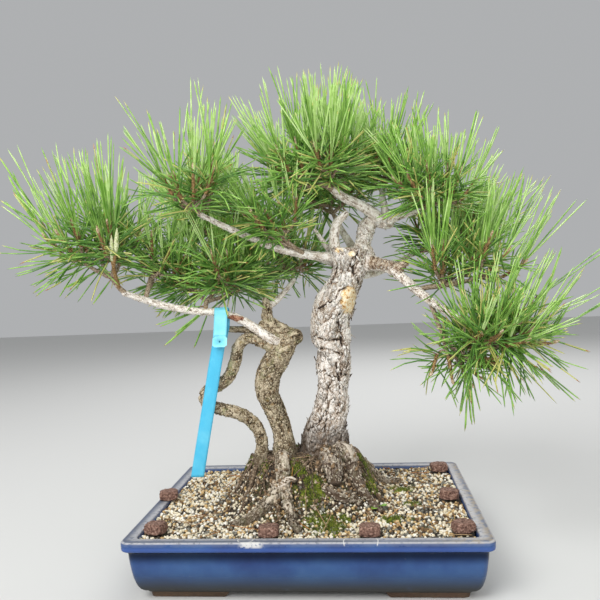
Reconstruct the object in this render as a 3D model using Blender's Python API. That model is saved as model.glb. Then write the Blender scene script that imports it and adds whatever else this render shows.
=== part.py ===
"""Japanese black pine bonsai: an old twin-trunk pine in a shallow blue glazed tray.

Metres, +Z up. The tray stands on its feet at z = 0 and its long side faces -Y.
Limbs are smooth tubes through a few (x, y, z, radius) stations. Foliage masses
grow from one stem each, by a seeded rule: twigs to a pad of shoots, and on each
shoot a slim core that pine needles stand out of.
"""

import math
import random

import bmesh
import bpy
import numpy as np
from mathutils import Matrix

# Clearance between pieces that touch on the real plant
GAP = 0.0003

# Tray pot
POT_LENGTH = 0.367
POT_DEPTH = 0.275
POT_HEIGHT = 0.064
POT_CORNER = 0.009
POT_CORNER_STEPS = 2
RIM_WIDTH = 0.0135
RIM_HEIGHT = 0.008
FOOT_HEIGHT = 0.006
FLOOR_THICKNESS = 0.009
FOOT_INSET = 0.0220
FOOT_LONG = 0.084
FOOT_SHORT = 0.056
FOOT_WIDTH = 0.015
FOOT_BEVEL = 0.006
FOOT_SINK = 0.003
DRAIN_RADIUS = 0.009
DRAIN_OFFSET = 0.085
DRAIN_SIDES = 12
DRAIN_CUT = 0.03

# Soil: level at the rim, heaped up in lumps to a crest under the trunks
SOIL_LEVEL = 0.061
SOIL_CREST = 0.112
CREST_CENTRE = (-0.008, 0.005)
CREST_HALF = (0.064, 0.038)
SLOPE_HALF = (0.102, 0.104)
SLOPE_POWER = 1.5
SOIL_SPOKES = 32
CREST_RING = 0.55
SLOPE_RINGS = 4
LUMP_PITCH = 0.036
LUMP_HEIGHT = 0.0022
LUMP_BEND = 1.6
LUMP_DRIFT = 0.45
LUMP_FADE = 0.3
SOIL_SIDE_HEIGHTS = (0.045, 0.020)
WALL_CLEAR = 2.5 * GAP

# Tubes
LIMB_SPANS = 1
TRUNK_SPANS = 2
SWELL_MOST = 1.15
TRUNK_SIDES = 14
STEM_SIDES = 10
BOUGH_SIDES = 6
TWIG_SIDES = 3

# Needle shoots
NEEDLE_LONG = 0.100
NEEDLE_SHORT = 0.058
NEEDLE_LEAST = 0.020
SHOOT_LENGTH = 0.034
SHOOT_RADIUS = 0.0032
SHOOT_SIDES = 5
SHOOT_TIERS = 4
NEEDLE_ANGLE_BACK = math.radians(84)
NEEDLE_ANGLE_TIP = math.radians(14)
SHOOT_TAPER = (0.8, 1.0, 1.0, 0.9, 0.6)
SHOOT_PEAK = 0.002
SHOOT_SINK = 0.35
NEEDLE_ANGLE_JITTER = 0.07
NEEDLE_LENGTH_SPREAD = (0.82, 1.0)
NEEDLE_TRIALS = (1.0, 0.82, 0.66, 0.5, 0.36, 0.25)
CELL_AHEAD = 0.028
CELL_MARGIN = 0.0014
NEEDLE_CLEAR = 0.0026
GOLDEN = math.pi * (3.0 - math.sqrt(5.0))
SEED = 11

# Twigs from a mass's stem to its shoots
TWIG_RADII = (0.0026, 0.0022, 0.0019, 0.0016)
TWIG_FROM = 0.55
TWIG_BEND_AT = 0.55
TWIG_SAG = 0.10
PAD_START = 0.35
PAD_JITTER = 0.3
TILT_JITTER = 0.15

# Fertiliser cakes
CAKE_SIZE = (0.021, 0.017, 0.011)
CAKE_SQUARENESS = 1.35
CAKE_UNEVEN = (0.94, 1.04)
CAKE_UNDERSIDE = -0.40

# Plant label
LABEL_WIDTH = 0.015
LABEL_THICKNESS = 0.0009


# Materials
COLOURS = {
    "glazed_stoneware": ((0.045, 0.095, 0.29), 0.28),
    "pot_grit": ((0.62, 0.55, 0.44), 0.95),
    "pine_bark": ((0.36, 0.31, 0.25), 0.92),
    "bough_bark": ((0.44, 0.38, 0.31), 0.88),
    "pine_needles": ((0.14, 0.30, 0.05), 0.5),
    "fertiliser": ((0.11, 0.055, 0.04), 0.9),
    "label_plastic": ((0.10, 0.42, 0.75), 0.45),
}


def material(name):
    """One Principled material for each finish, made when first asked for."""
    if name in bpy.data.materials:
        return bpy.data.materials[name]
    colour, roughness = COLOURS[name]
    made = bpy.data.materials.new(name)
    made.use_nodes = True
    shader = made.node_tree.nodes["Principled BSDF"]
    shader.inputs["Base Color"].default_value = (*colour, 1.0)
    shader.inputs["Roughness"].default_value = roughness
    made.diffuse_color = (*colour, 1.0)
    return made


def add_object(name, vertices, faces, finish):
    """A named mesh object in the scene with its own copy of a finish."""
    mesh = bpy.data.meshes.new(name)
    mesh.from_pydata([tuple(v) for v in vertices], [], faces)
    mesh.update()
    made = bpy.data.objects.new(name, mesh)
    own = material(finish).copy()
    own.name = name + "_" + finish
    mesh.materials.append(own)
    bpy.context.scene.collection.objects.link(made)
    return made


def bake(thing):
    """Apply the modifiers of one object to its mesh."""
    graph = bpy.context.evaluated_depsgraph_get()
    graph.update()
    mesh = bpy.data.meshes.new_from_object(thing.evaluated_get(graph))
    thing.modifiers.clear()
    thing.data = mesh


def discard(things):
    for thing in things:
        bpy.data.objects.remove(thing, do_unlink=True)


def join(target, others, solver="EXACT"):
    """Union with a collection of solids, which is then removed."""
    group = bpy.data.collections.new("operands")
    for other in others:
        group.objects.link(other)
    bpy.context.scene.collection.children.link(group)
    step = target.modifiers.new("join", "BOOLEAN")
    step.operation = "UNION"
    step.operand_type = "COLLECTION"
    step.collection = group
    step.solver = solver
    bake(target)
    discard(others)
    bpy.data.collections.remove(group)


def cut(target, cutters, solver="EXACT"):
    """Difference by each cutter in turn; the cutters are then removed."""
    for cutter in cutters:
        step = target.modifiers.new("cut", "BOOLEAN")
        step.operation = "DIFFERENCE"
        step.object = cutter
        step.solver = solver
    bake(target)
    discard(cutters)


def keep_largest_body(thing):
    """Drop loose scraps that a Boolean may leave."""
    edit = bmesh.new()
    edit.from_mesh(thing.data)
    edit.verts.ensure_lookup_table()
    seen = set()
    bodies = []
    for start in edit.verts:
        if start in seen:
            continue
        body = []
        stack = [start]
        seen.add(start)
        while stack:
            vertex = stack.pop()
            body.append(vertex)
            for edge in vertex.link_edges:
                other = edge.other_vert(vertex)
                if other not in seen:
                    seen.add(other)
                    stack.append(other)
        bodies.append(body)
    bodies.sort(key=len, reverse=True)
    scraps = [vertex for body in bodies[1:] for vertex in body]
    bmesh.ops.delete(edit, geom=scraps, context="VERTS")
    edit.to_mesh(thing.data)
    edit.free()


# Tubes along smooth routes
def smooth_route(stations, spans):
    """Catmull-Rom points through the stations; the radius is carried as a fourth value."""
    given = np.array(stations, float)
    first = 2 * given[0] - given[1]
    last = 2 * given[-1] - given[-2]
    padded = np.vstack([first, given, last])
    points = []
    for index in range(len(given) - 1):
        a, b, c, d = padded[index:index + 4]
        for step in range(spans):
            t = step / spans
            bend = (2 * a - 5 * b + 4 * c - d) * t ** 2
            twist = (3 * b - a - 3 * c + d) * t ** 3
            points.append(0.5 * (2 * b + (c - a) * t + bend + twist))
    points.append(given[-1])
    return np.array(points)


def unit(vector):
    return vector / np.linalg.norm(vector)


def any_normal(direction):
    """A unit vector square to the direction."""
    helper = np.array((0.0, 1.0, 0.0)) if abs(direction[1]) < 0.9 else np.array((1.0, 0.0, 0.0))
    return unit(np.cross(direction, helper))


def ring_frames(points):
    """A tangent and two side vectors at each point, carried along without twisting."""
    tangents = np.gradient(points, axis=0)
    side = None
    frames = []
    for tangent in tangents:
        tangent = unit(tangent)
        if side is None:
            side = any_normal(tangent)
        side = unit(side - tangent * side.dot(tangent))
        frames.append((tangent, side, np.cross(tangent, side)))
    return frames


def band(low, high, count):
    """Triangles between two rings of vertices, always split along the same diagonal."""
    faces = []
    for corner in range(count):
        after = (corner + 1) % count
        faces.append((low + corner, low + after, high + after))
        faces.append((low + corner, high + after, high + corner))
    return faces


def tube_mesh(points, sides, grow=0.0, swell=None):
    """Vertices and faces of a capped tube; grow widens and lengthens it evenly."""
    frames = ring_frames(points[:, :3])
    apothem = math.cos(math.pi / sides)
    vertices = []
    for index, (point, frame) in enumerate(zip(points, frames)):
        tangent, side, over = frame
        centre = point[:3].copy()
        if index == 0:
            centre -= tangent * grow
        if index == len(points) - 1:
            centre += tangent * grow
        for corner in range(sides):
            angle = 2 * math.pi * corner / sides
            radius = point[3]
            if swell:
                radius *= swell(angle, index / (len(points) - 1))
            radius += grow / apothem
            vertices.append(centre + radius * (math.cos(angle) * side + math.sin(angle) * over))
    faces = [tuple(reversed(range(sides)))]
    for ring in range(len(points) - 1):
        faces.extend(band(ring * sides, (ring + 1) * sides, sides))
    top = (len(points) - 1) * sides
    faces.append(tuple(range(top, top + sides)))
    return vertices, faces


class Limb:
    """A trunk, stem or bough: its route, and the cutters that keep others clear of it."""

    def __init__(self, name, stations, sides, finish="bough_bark", swell=None, spans=LIMB_SPANS):
        self.name = name
        self.sides = sides
        self.finish = finish
        self.swell = swell
        self.points = smooth_route(stations, spans)

    def solid(self):
        return add_object(self.name, *tube_mesh(self.points, self.sides, 0.0, self.swell), self.finish)

    def cutter(self):
        shape = tube_mesh(self.points, self.sides, GAP, self.swell)
        made = add_object(self.name + "_cutter", *shape, self.finish)
        made.hide_render = True
        made.display_type = "WIRE"
        return made

    def capsules(self):
        """The route as straight pieces with a radius, for keeping needles clear."""
        swollen = SWELL_MOST if self.swell else 1.0
        pieces = []
        for low, high in zip(self.points[:-1], self.points[1:]):
            pieces.append((low[:3], high[:3], swollen * max(low[3], high[3])))
        return pieces


# Pot
def rounded_rectangle(half_x, half_y, radius, steps=POT_CORNER_STEPS):
    """Corner points of a rectangle with round corners, counter-clockwise."""
    outline = []
    for quarter in range(4):
        sign_x = 1 if quarter in (0, 3) else -1
        sign_y = 1 if quarter in (0, 1) else -1
        for step in range(steps + 1):
            angle = math.pi / 2 * (quarter + step / steps)
            x = sign_x * (half_x - radius) + radius * math.cos(angle)
            y = sign_y * (half_y - radius) + radius * math.sin(angle)
            outline.append((x, y))
    return outline


def pot_profile():
    """(inset from the rim's outer edge, height) from under the body up, over and inside."""
    top = POT_HEIGHT
    lip = top - RIM_HEIGHT
    return [
        (0.0225, FOOT_HEIGHT - 0.0005),
        (0.0155, top - 0.0545),
        (0.0115, top - 0.0485),
        (0.0085, top - 0.039),
        (0.0058, top - 0.018),
        (0.0012, lip),
        (0.0, lip + 0.0015),
        (0.0, top - 0.0015),
        (0.0013, top),
        (RIM_WIDTH - 0.0005, top),
        (RIM_WIDTH + 0.001, top - 0.018),
        (RIM_WIDTH + 0.005, top - 0.044),
        (RIM_WIDTH + 0.014, FOOT_HEIGHT + FLOOR_THICKNESS),
    ]


def loft(outlines, heights):
    """Vertices and faces of stacked closed outlines with flat ends."""
    count = len(outlines[0])
    vertices = []
    for outline, height in zip(outlines, heights):
        vertices.extend((x, y, height) for x, y in outline)
    faces = [tuple(reversed(range(count)))]
    for ring in range(len(outlines) - 1):
        faces.extend(band(ring * count, (ring + 1) * count, count))
    faces.append(tuple(range((len(outlines) - 1) * count, len(outlines) * count)))
    return vertices, faces


def pot_corner(inset):
    """Corner radius of the pot's outline at an inset from the rim's outer edge."""
    return max(POT_CORNER - 0.2 * inset, 0.005)


def pot_outline(inset):
    return rounded_rectangle(POT_LENGTH / 2 - inset, POT_DEPTH / 2 - inset, pot_corner(inset))


def foot_outline(sign_x, sign_y):
    """An L that follows the tray's corner, turned to its own quarter."""
    outer_x = POT_LENGTH / 2 - FOOT_INSET
    outer_y = POT_DEPTH / 2 - FOOT_INSET
    corners = [
        (outer_x - FOOT_LONG, outer_y),
        (outer_x - FOOT_LONG, outer_y - FOOT_WIDTH),
        (outer_x - FOOT_WIDTH, outer_y - FOOT_WIDTH),
        (outer_x - FOOT_WIDTH, outer_y - FOOT_SHORT),
        (outer_x, outer_y - FOOT_SHORT),
        (outer_x, outer_y - FOOT_BEVEL),
        (outer_x - 0.3 * FOOT_BEVEL, outer_y - 0.3 * FOOT_BEVEL),
        (outer_x - FOOT_BEVEL, outer_y),
    ]
    placed = [(sign_x * x, sign_y * y) for x, y in corners]
    if sign_x * sign_y < 0:
        placed.reverse()
    return placed


def make_pot():
    profile = pot_profile()
    outlines = [pot_outline(inset) for inset, _ in profile]
    heights = [height for _, height in profile]
    pot = add_object("tray_pot", *loft(outlines, heights), "glazed_stoneware")
    feet = []
    for sign_x in (-1, 1):
        for sign_y in (-1, 1):
            outline = foot_outline(sign_x, sign_y)
            shape = loft([outline, outline], [0.0, FOOT_HEIGHT + FOOT_SINK])
            feet.append(add_object("foot", *shape, "glazed_stoneware"))
    join(pot, feet)
    drains = []
    for sign in (-1, 1):
        ring = []
        for step in range(DRAIN_SIDES):
            angle = 2 * math.pi * step / DRAIN_SIDES
            ring.append((sign * DRAIN_OFFSET + DRAIN_RADIUS * math.cos(angle), DRAIN_RADIUS * math.sin(angle)))
        drains.append(add_object("drain", *loft([ring, ring], [0.0, DRAIN_CUT]), "glazed_stoneware"))
    cut(pot, drains)
    return pot


# Soil
def soil_lump(x, y):
    """Rise and fall of the old root ball under the grit, in lumps a pitch apart."""
    wave = 2 * math.pi / LUMP_PITCH
    across = math.sin(wave * x + LUMP_BEND * math.sin(LUMP_DRIFT * wave * y))
    back = math.cos(wave * y + LUMP_BEND * math.sin(LUMP_DRIFT * wave * x))
    return LUMP_HEIGHT * across * back


def soil_height(x, y):
    """Height of the soil at a place: level grit, then a lumpy slope up to the crest."""
    across = x - CREST_CENTRE[0]
    back = y - CREST_CENTRE[1]
    inner = math.hypot(across / CREST_HALF[0], back / CREST_HALF[1])
    outer = math.hypot(across / SLOPE_HALF[0], back / SLOPE_HALF[1])
    if outer >= 1.0:
        return SOIL_LEVEL
    lump = soil_lump(x, y) * min(1.0, (1.0 - outer) / LUMP_FADE)
    if inner <= 1.0:
        return SOIL_CREST + lump
    fall = (1.0 - 1.0 / inner) / (1.0 / outer - 1.0 / inner)
    return SOIL_LEVEL + (SOIL_CREST - SOIL_LEVEL) * (1.0 - fall) ** SLOPE_POWER + lump


def wall_inset(height):
    """How far the pot's inner wall stands in from the rim's outer edge at a height."""
    inner = [(h, inset) for inset, h in pot_profile()[-4:]]
    heights = [h for h, _ in inner][::-1]
    insets = [inset for _, inset in inner][::-1]
    return float(np.interp(height, heights, insets))


def wall_reach(direction, inset):
    """Distance from the crest's centre to the pot's inner wall along a direction."""
    half_x = POT_LENGTH / 2 - inset
    half_y = POT_DEPTH / 2 - inset
    corner = pot_corner(inset) + 0.002
    low, high = 0.0, POT_LENGTH
    for _ in range(40):
        middle = (low + high) / 2
        x = CREST_CENTRE[0] + middle * direction[0]
        y = CREST_CENTRE[1] + middle * direction[1]
        over_x = max(abs(x) - (half_x - corner), 0.0)
        over_y = max(abs(y) - (half_y - corner), 0.0)
        if math.hypot(over_x, over_y) < corner:
            low = middle
        else:
            high = middle
    return low


def soil_rings():
    """Radial distances of the soil's rings for each spoke, from the crest outwards."""
    rings = []
    for spoke in range(SOIL_SPOKES):
        angle = 2 * math.pi * spoke / SOIL_SPOKES
        direction = (math.cos(angle), math.sin(angle))
        crest = 1.0 / math.hypot(direction[0] / CREST_HALF[0], direction[1] / CREST_HALF[1])
        edge = wall_reach(direction, wall_inset(SOIL_LEVEL) + WALL_CLEAR)
        slope = 1.0 / math.hypot(direction[0] / SLOPE_HALF[0], direction[1] / SLOPE_HALF[1])
        slope = min(slope, edge - 0.002)
        radii = [CREST_RING * crest, crest]
        for step in range(1, SLOPE_RINGS + 1):
            radii.append(crest + (slope - crest) * step / SLOPE_RINGS)
        radii.append(edge)
        rings.append((direction, radii))
    return rings


def make_soil(name="pot_soil", lift=0.0):
    floor = FOOT_HEIGHT + FLOOR_THICKNESS + GAP
    top_rings = soil_rings()
    vertices = [(*CREST_CENTRE, soil_height(*CREST_CENTRE) + lift)]
    ring_count = SLOPE_RINGS + 3
    for ring in range(ring_count):
        for direction, radii in top_rings:
            x = CREST_CENTRE[0] + radii[ring] * direction[0]
            y = CREST_CENTRE[1] + radii[ring] * direction[1]
            vertices.append((x, y, soil_height(x, y) + lift))
    sides = [*SOIL_SIDE_HEIGHTS, floor]
    for height in sides:
        inset = wall_inset(height) + WALL_CLEAR
        for direction, _ in top_rings:
            reach = wall_reach(direction, inset)
            x = CREST_CENTRE[0] + reach * direction[0]
            y = CREST_CENTRE[1] + reach * direction[1]
            vertices.append((x, y, height))
    faces = []
    count = SOIL_SPOKES
    for corner in range(count):
        faces.append((0, 1 + corner, 1 + (corner + 1) % count))
    for ring in range(ring_count + len(sides) - 1):
        low = 1 + ring * count
        faces.extend(band(low + count, low, count))
    last = 1 + (ring_count + len(sides) - 1) * count
    faces.append(tuple(reversed(range(last, last + count))))
    return add_object(name, vertices, faces, "pot_grit")


def raised_soil():
    """The soil lifted by the gap: it cuts the trunks' feet flat and the roots to the ground."""
    made = make_soil("raised_soil", GAP)
    made.hide_render = True
    made.display_type = "WIRE"
    return made


# Trunks, stems and boughs
def trunk_swell(angle, along):
    """Root flare in lobes at the foot, ribs up the trunk, and knots in the old bark."""
    flare = 0.12 * math.exp(-along * 9.0) * math.cos(3 * angle + 0.8)
    ribs = 0.055 * math.cos(4 * angle + 3.0 * math.sin(5.0 * along))
    knots = 0.045 * math.cos(2 * angle + 44.0 * along)
    return 1.0 + flare + ribs + knots


def stem_swell(angle, along):
    return 1.0 + 0.05 * math.cos(2 * angle + 9.0 * along) + 0.03 * math.cos(3 * angle - 14.0 * along)


MAIN_TRUNK = Limb("main_trunk", [
    (0.016, 0.016, 0.097, 0.034),
    (0.016, 0.016, 0.114, 0.0295),
    (0.017, 0.016, 0.129, 0.0262),
    (0.019, 0.016, 0.143, 0.0235),
    (0.023, 0.015, 0.156, 0.0208),
    (0.0265, 0.014, 0.173, 0.0192),
    (0.028, 0.012, 0.194, 0.0190),
    (0.030, 0.008, 0.217, 0.0195),
    (0.032, 0.005, 0.235, 0.0184),
    (0.030, 0.002, 0.247, 0.0205),
    (0.028, 0.001, 0.262, 0.0218),
    (0.032, 0.001, 0.281, 0.0215),
    (0.041, 0.003, 0.299, 0.0203),
    (0.0485, 0.006, 0.315, 0.0183),
    (0.052, 0.008, 0.326, 0.0185),
    (0.0525, 0.009, 0.338, 0.0222),
    (0.054, 0.009, 0.351, 0.0222),
], TRUNK_SIDES, "pine_bark", trunk_swell, TRUNK_SPANS)

SECOND_TRUNK = Limb("second_trunk", [
    (-0.031, -0.006, 0.100, 0.019),
    (-0.031, -0.006, 0.117, 0.016),
    (-0.032, -0.006, 0.140, 0.0135),
    (-0.040, -0.008, 0.167, 0.0125),
    (-0.047, -0.009, 0.190, 0.0135),
    (-0.044, -0.010, 0.212, 0.0138),
    (-0.034, -0.009, 0.229, 0.0138),
    (-0.025, -0.008, 0.242, 0.013),
    (-0.019, -0.007, 0.252, 0.0105),
], STEM_SIDES, "pine_bark", stem_swell)

SECOND_TRUNK_HEAD = Limb("second_trunk_head", [
    (-0.019, -0.007, 0.246, 0.0085),
    (-0.025, -0.009, 0.258, 0.0085),
    (-0.035, -0.010, 0.265, 0.0078),
    (-0.043, -0.010, 0.273, 0.0068),
    (-0.044, -0.006, 0.286, 0.0052),
    (-0.046, -0.002, 0.297, 0.0036),
], 8, "pine_bark")

REAR_STEM = Limb("rear_stem", [
    (-0.022, 0.018, 0.100, 0.0105),
    (-0.023, 0.016, 0.118, 0.0088),
    (-0.025, 0.013, 0.140, 0.0078),
    (-0.029, 0.008, 0.165, 0.0068),
    (-0.040, -0.003, 0.192, 0.0055),
], 8, "pine_bark")

LOOP_LOWER = Limb("loop_stem_lower", [
    (-0.059, -0.013, 0.100, 0.0095),
    (-0.057, -0.014, 0.116, 0.0078),
    (-0.055, -0.016, 0.134, 0.0068),
    (-0.061, -0.020, 0.153, 0.0072),
    (-0.076, -0.025, 0.167, 0.0071),
    (-0.097, -0.028, 0.174, 0.0070),
    (-0.112, -0.029, 0.180, 0.0066),
    (-0.118, -0.029, 0.1895, 0.0062),
], 8, "pine_bark")

LOOP_UPPER = Limb("loop_stem_upper", [
    (-0.1182, -0.029, 0.190, 0.0062),
    (-0.112, -0.029, 0.197, 0.0062),
    (-0.098, -0.029, 0.202, 0.0064),
    (-0.087, -0.028, 0.212, 0.0066),
    (-0.080, -0.026, 0.228, 0.0065),
    (-0.076, -0.024, 0.244, 0.0063),
    (-0.067, -0.022, 0.253, 0.0060),
    (-0.055, -0.021, 0.251, 0.0062),
    (-0.036, -0.013, 0.240, 0.0068),
], 8, "pine_bark")

LEADER = Limb("leader", [
    (0.063, 0.011, 0.338, 0.0115),
    (0.068, 0.013, 0.350, 0.0098),
    (0.071, 0.017, 0.362, 0.0082),
    (0.073, 0.019, 0.376, 0.0080),
    (0.084, 0.016, 0.384, 0.0078),
    (0.095, 0.013, 0.382, 0.0086),
    (0.101, 0.012, 0.380, 0.0078),
], 8)

DEAD_SNAG = Limb("dead_snag", [
    (0.042, 0.001, 0.338, 0.0062),
    (0.037, -0.002, 0.356, 0.0062),
    (0.038, -0.002, 0.371, 0.0057),
    (0.042, -0.004, 0.382, 0.0052),
    (0.052, -0.006, 0.391, 0.0036),
], BOUGH_SIDES, "pine_bark")

SMALL_SNAG = Limb("small_snag", [
    (0.038, 0.012, 0.343, 0.0036),
    (0.028, 0.012, 0.354, 0.0032),
    (0.021, 0.011, 0.365, 0.0027),
    (0.014, 0.011, 0.376, 0.0018),
], BOUGH_SIDES, "pine_bark")

UPPER_LEFT_BOUGH = Limb("upper_left_bough", [
    (0.046, 0.005, 0.342, 0.0062),
    (0.028, 0.001, 0.343, 0.0055),
    (0.003, -0.006, 0.346, 0.0045),
    (-0.030, -0.021, 0.355, 0.0040),
    (-0.056, -0.033, 0.367, 0.0036),
    (-0.080, -0.046, 0.379, 0.0032),
    (-0.106, -0.057, 0.393, 0.0025),
], BOUGH_SIDES)

TOP_LEFT_BOUGH = Limb("top_left_bough", [
    (0.094, 0.013, 0.381, 0.0068),
    (0.082, 0.008, 0.392, 0.0065),
    (0.066, 0.002, 0.402, 0.0057),
    (0.051, -0.004, 0.409, 0.0051),
    (0.039, -0.010, 0.418, 0.0045),
], BOUGH_SIDES)

TOP_MIDDLE_BOUGH = Limb("top_middle_bough", [
    (0.096, 0.014, 0.382, 0.0052),
    (0.097, 0.018, 0.396, 0.0043),
    (0.095, 0.026, 0.412, 0.0036),
    (0.0958, 0.031, 0.4205, 0.0033),
], BOUGH_SIDES)

TOP_RIGHT_BOUGH = Limb("top_right_bough", [
    (0.096, 0.011, 0.379, 0.0048),
    (0.112, 0.006, 0.385, 0.0038),
    (0.126, 0.001, 0.3885, 0.0033),
    (0.138, -0.004, 0.391, 0.0029),
], BOUGH_SIDES)

RIGHT_BOUGH = Limb("right_bough", [
    (0.064, 0.007, 0.335, 0.0120),
    (0.080, 0.003, 0.333, 0.0088),
    (0.096, -0.004, 0.328, 0.0064),
    (0.107, -0.012, 0.320, 0.0058),
    (0.119, -0.020, 0.308, 0.0052),
    (0.136, -0.033, 0.292, 0.0045),
    (0.153, -0.048, 0.278, 0.0036),
    (0.165, -0.058, 0.271, 0.0030),
], BOUGH_SIDES)

LEFT_BOUGH = Limb("left_bough", [
    (-0.030, -0.012, 0.246, 0.0058),
    (-0.043, -0.020, 0.254, 0.0055),
    (-0.066, -0.026, 0.272, 0.0047),
    (-0.092, -0.029, 0.283, 0.0042),
    (-0.126, -0.038, 0.288, 0.0040),
    (-0.160, -0.047, 0.297, 0.0037),
    (-0.196, -0.054, 0.311, 0.0032),
], BOUGH_SIDES)

LEFT_BLUNT_STUB = Limb("left_blunt_stub", [
    (-0.036, -0.013, 0.261, 0.0050),
    (-0.052, -0.016, 0.262, 0.0046),
    (-0.070, -0.016, 0.263, 0.0041),
    (-0.087, -0.015, 0.264, 0.0036),
], BOUGH_SIDES, "pine_bark")

SPUR_BOUGH = Limb("back_spur_bough", [
    (-0.043, -0.006, 0.287, 0.0036),
    (-0.033, 0.005, 0.295, 0.0035),
    (-0.024, 0.022, 0.306, 0.0031),
    (-0.016, 0.040, 0.318, 0.0028),
], BOUGH_SIDES)

BACK_LEFT_BOUGH = Limb("back_left_bough", [
    (0.046, 0.012, 0.334, 0.0068),
    (0.028, 0.030, 0.340, 0.0058),
    (-0.004, 0.052, 0.352, 0.0046),
    (-0.040, 0.068, 0.362, 0.0038),
    (-0.074, 0.078, 0.371, 0.0031),
], BOUGH_SIDES)

BACK_CENTRE_BOUGH = Limb("back_centre_bough", [
    (0.058, 0.016, 0.343, 0.0062),
    (0.056, 0.036, 0.356, 0.0052),
    (0.046, 0.054, 0.374, 0.0041),
    (0.038, 0.064, 0.391, 0.0032),
], BOUGH_SIDES)

BACK_RIGHT_BOUGH = Limb("back_right_bough", [
    (0.054, 0.012, 0.322, 0.0066),
    (0.076, 0.032, 0.322, 0.0056),
    (0.098, 0.054, 0.328, 0.0046),
    (0.120, 0.074, 0.338, 0.0036),
    (0.132, 0.082, 0.345, 0.0030),
], BOUGH_SIDES)

# Each limb with the limbs that it grows from or lies against, which cut it clear
LIMB_PARENTS = [
    (MAIN_TRUNK, []),
    (SECOND_TRUNK, [MAIN_TRUNK]),
    (REAR_STEM, [MAIN_TRUNK, SECOND_TRUNK]),
    (LOOP_LOWER, [SECOND_TRUNK]),
    (LEFT_BOUGH, [SECOND_TRUNK, SECOND_TRUNK_HEAD]),
    (LOOP_UPPER, [SECOND_TRUNK, SECOND_TRUNK_HEAD, LEFT_BOUGH, LOOP_LOWER]),
    (LEFT_BLUNT_STUB, [SECOND_TRUNK, SECOND_TRUNK_HEAD, LEFT_BOUGH]),
    (SPUR_BOUGH, [SECOND_TRUNK_HEAD]),
    (LEADER, [MAIN_TRUNK]),
    (UPPER_LEFT_BOUGH, [MAIN_TRUNK]),
    (DEAD_SNAG, [MAIN_TRUNK, UPPER_LEFT_BOUGH]),
    (SMALL_SNAG, [MAIN_TRUNK, UPPER_LEFT_BOUGH, DEAD_SNAG]),
    (RIGHT_BOUGH, [MAIN_TRUNK, LEADER]),
    (TOP_LEFT_BOUGH, [LEADER]),
    (TOP_MIDDLE_BOUGH, [LEADER, TOP_LEFT_BOUGH]),
    (TOP_RIGHT_BOUGH, [LEADER, TOP_MIDDLE_BOUGH]),
    (BACK_LEFT_BOUGH, [MAIN_TRUNK, UPPER_LEFT_BOUGH, SMALL_SNAG]),
    (BACK_CENTRE_BOUGH, [MAIN_TRUNK, LEADER, BACK_LEFT_BOUGH]),
    (BACK_RIGHT_BOUGH, [MAIN_TRUNK, RIGHT_BOUGH, BACK_CENTRE_BOUGH]),
]

# Surface roots: (x, y, radius) stations that ride on the soil, fused to their trunk
ROOT_RIDE = 0.35
ROOTS = {
    "second_trunk": [
        [(-0.032, -0.012, 0.008), (-0.036, -0.036, 0.0075), (-0.038, -0.057, 0.0068),
         (-0.050, -0.068, 0.0062), (-0.064, -0.077, 0.0054), (-0.078, -0.084, 0.0038)],
        [(-0.026, -0.014, 0.0075), (-0.022, -0.042, 0.0066), (-0.020, -0.068, 0.0056),
         (-0.013, -0.088, 0.0047), (-0.007, -0.104, 0.0035)],
    ],
    "main_trunk": [
        [(0.026, 0.002, 0.010), (0.046, -0.018, 0.0070), (0.060, -0.036, 0.0050), (0.078, -0.048, 0.0030)],
        [(0.026, 0.020, 0.010), (0.058, 0.034, 0.0080), (0.082, 0.052, 0.0060), (0.104, 0.060, 0.0038)],
        [(0.012, 0.030, 0.010), (0.002, 0.056, 0.0072), (-0.014, 0.080, 0.0052), (-0.020, 0.098, 0.0034)],
    ],
}


def root_tubes(trunk_name, grow=0.0):
    """A trunk's surface roots as tubes; grown a gap wider they cut other pieces clear."""
    tubes = []
    for stations in ROOTS.get(trunk_name, []):
        route = []
        for x, y, radius in stations:
            route.append((x, y, soil_height(x, y) + ROOT_RIDE * radius, radius))
        shape = tube_mesh(smooth_route(route, LIMB_SPANS), BOUGH_SIDES, grow)
        tubes.append(add_object("root", *shape, "pine_bark"))
    return tubes


def make_limbs():
    """All limbs as solids, each cut a gap clear of the limbs it meets."""
    made = {}
    for limb, parents in LIMB_PARENTS:
        solid = limb.solid()
        fused = root_tubes(limb.name)
        solver = "MANIFOLD" if fused else "EXACT"
        if limb is SECOND_TRUNK:
            fused.append(SECOND_TRUNK_HEAD.solid())
        if fused:
            join(solid, fused, solver)
        cutters = [parent.cutter() for parent in parents]
        if limb.points[0][2] < SOIL_CREST:
            cutters.append(raised_soil())
        if limb is SECOND_TRUNK:
            cutters.extend(root_tubes(MAIN_TRUNK.name, GAP))
        cut(solid, cutters, solver)
        keep_largest_body(solid)
        made[limb.name] = solid
    return made


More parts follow.
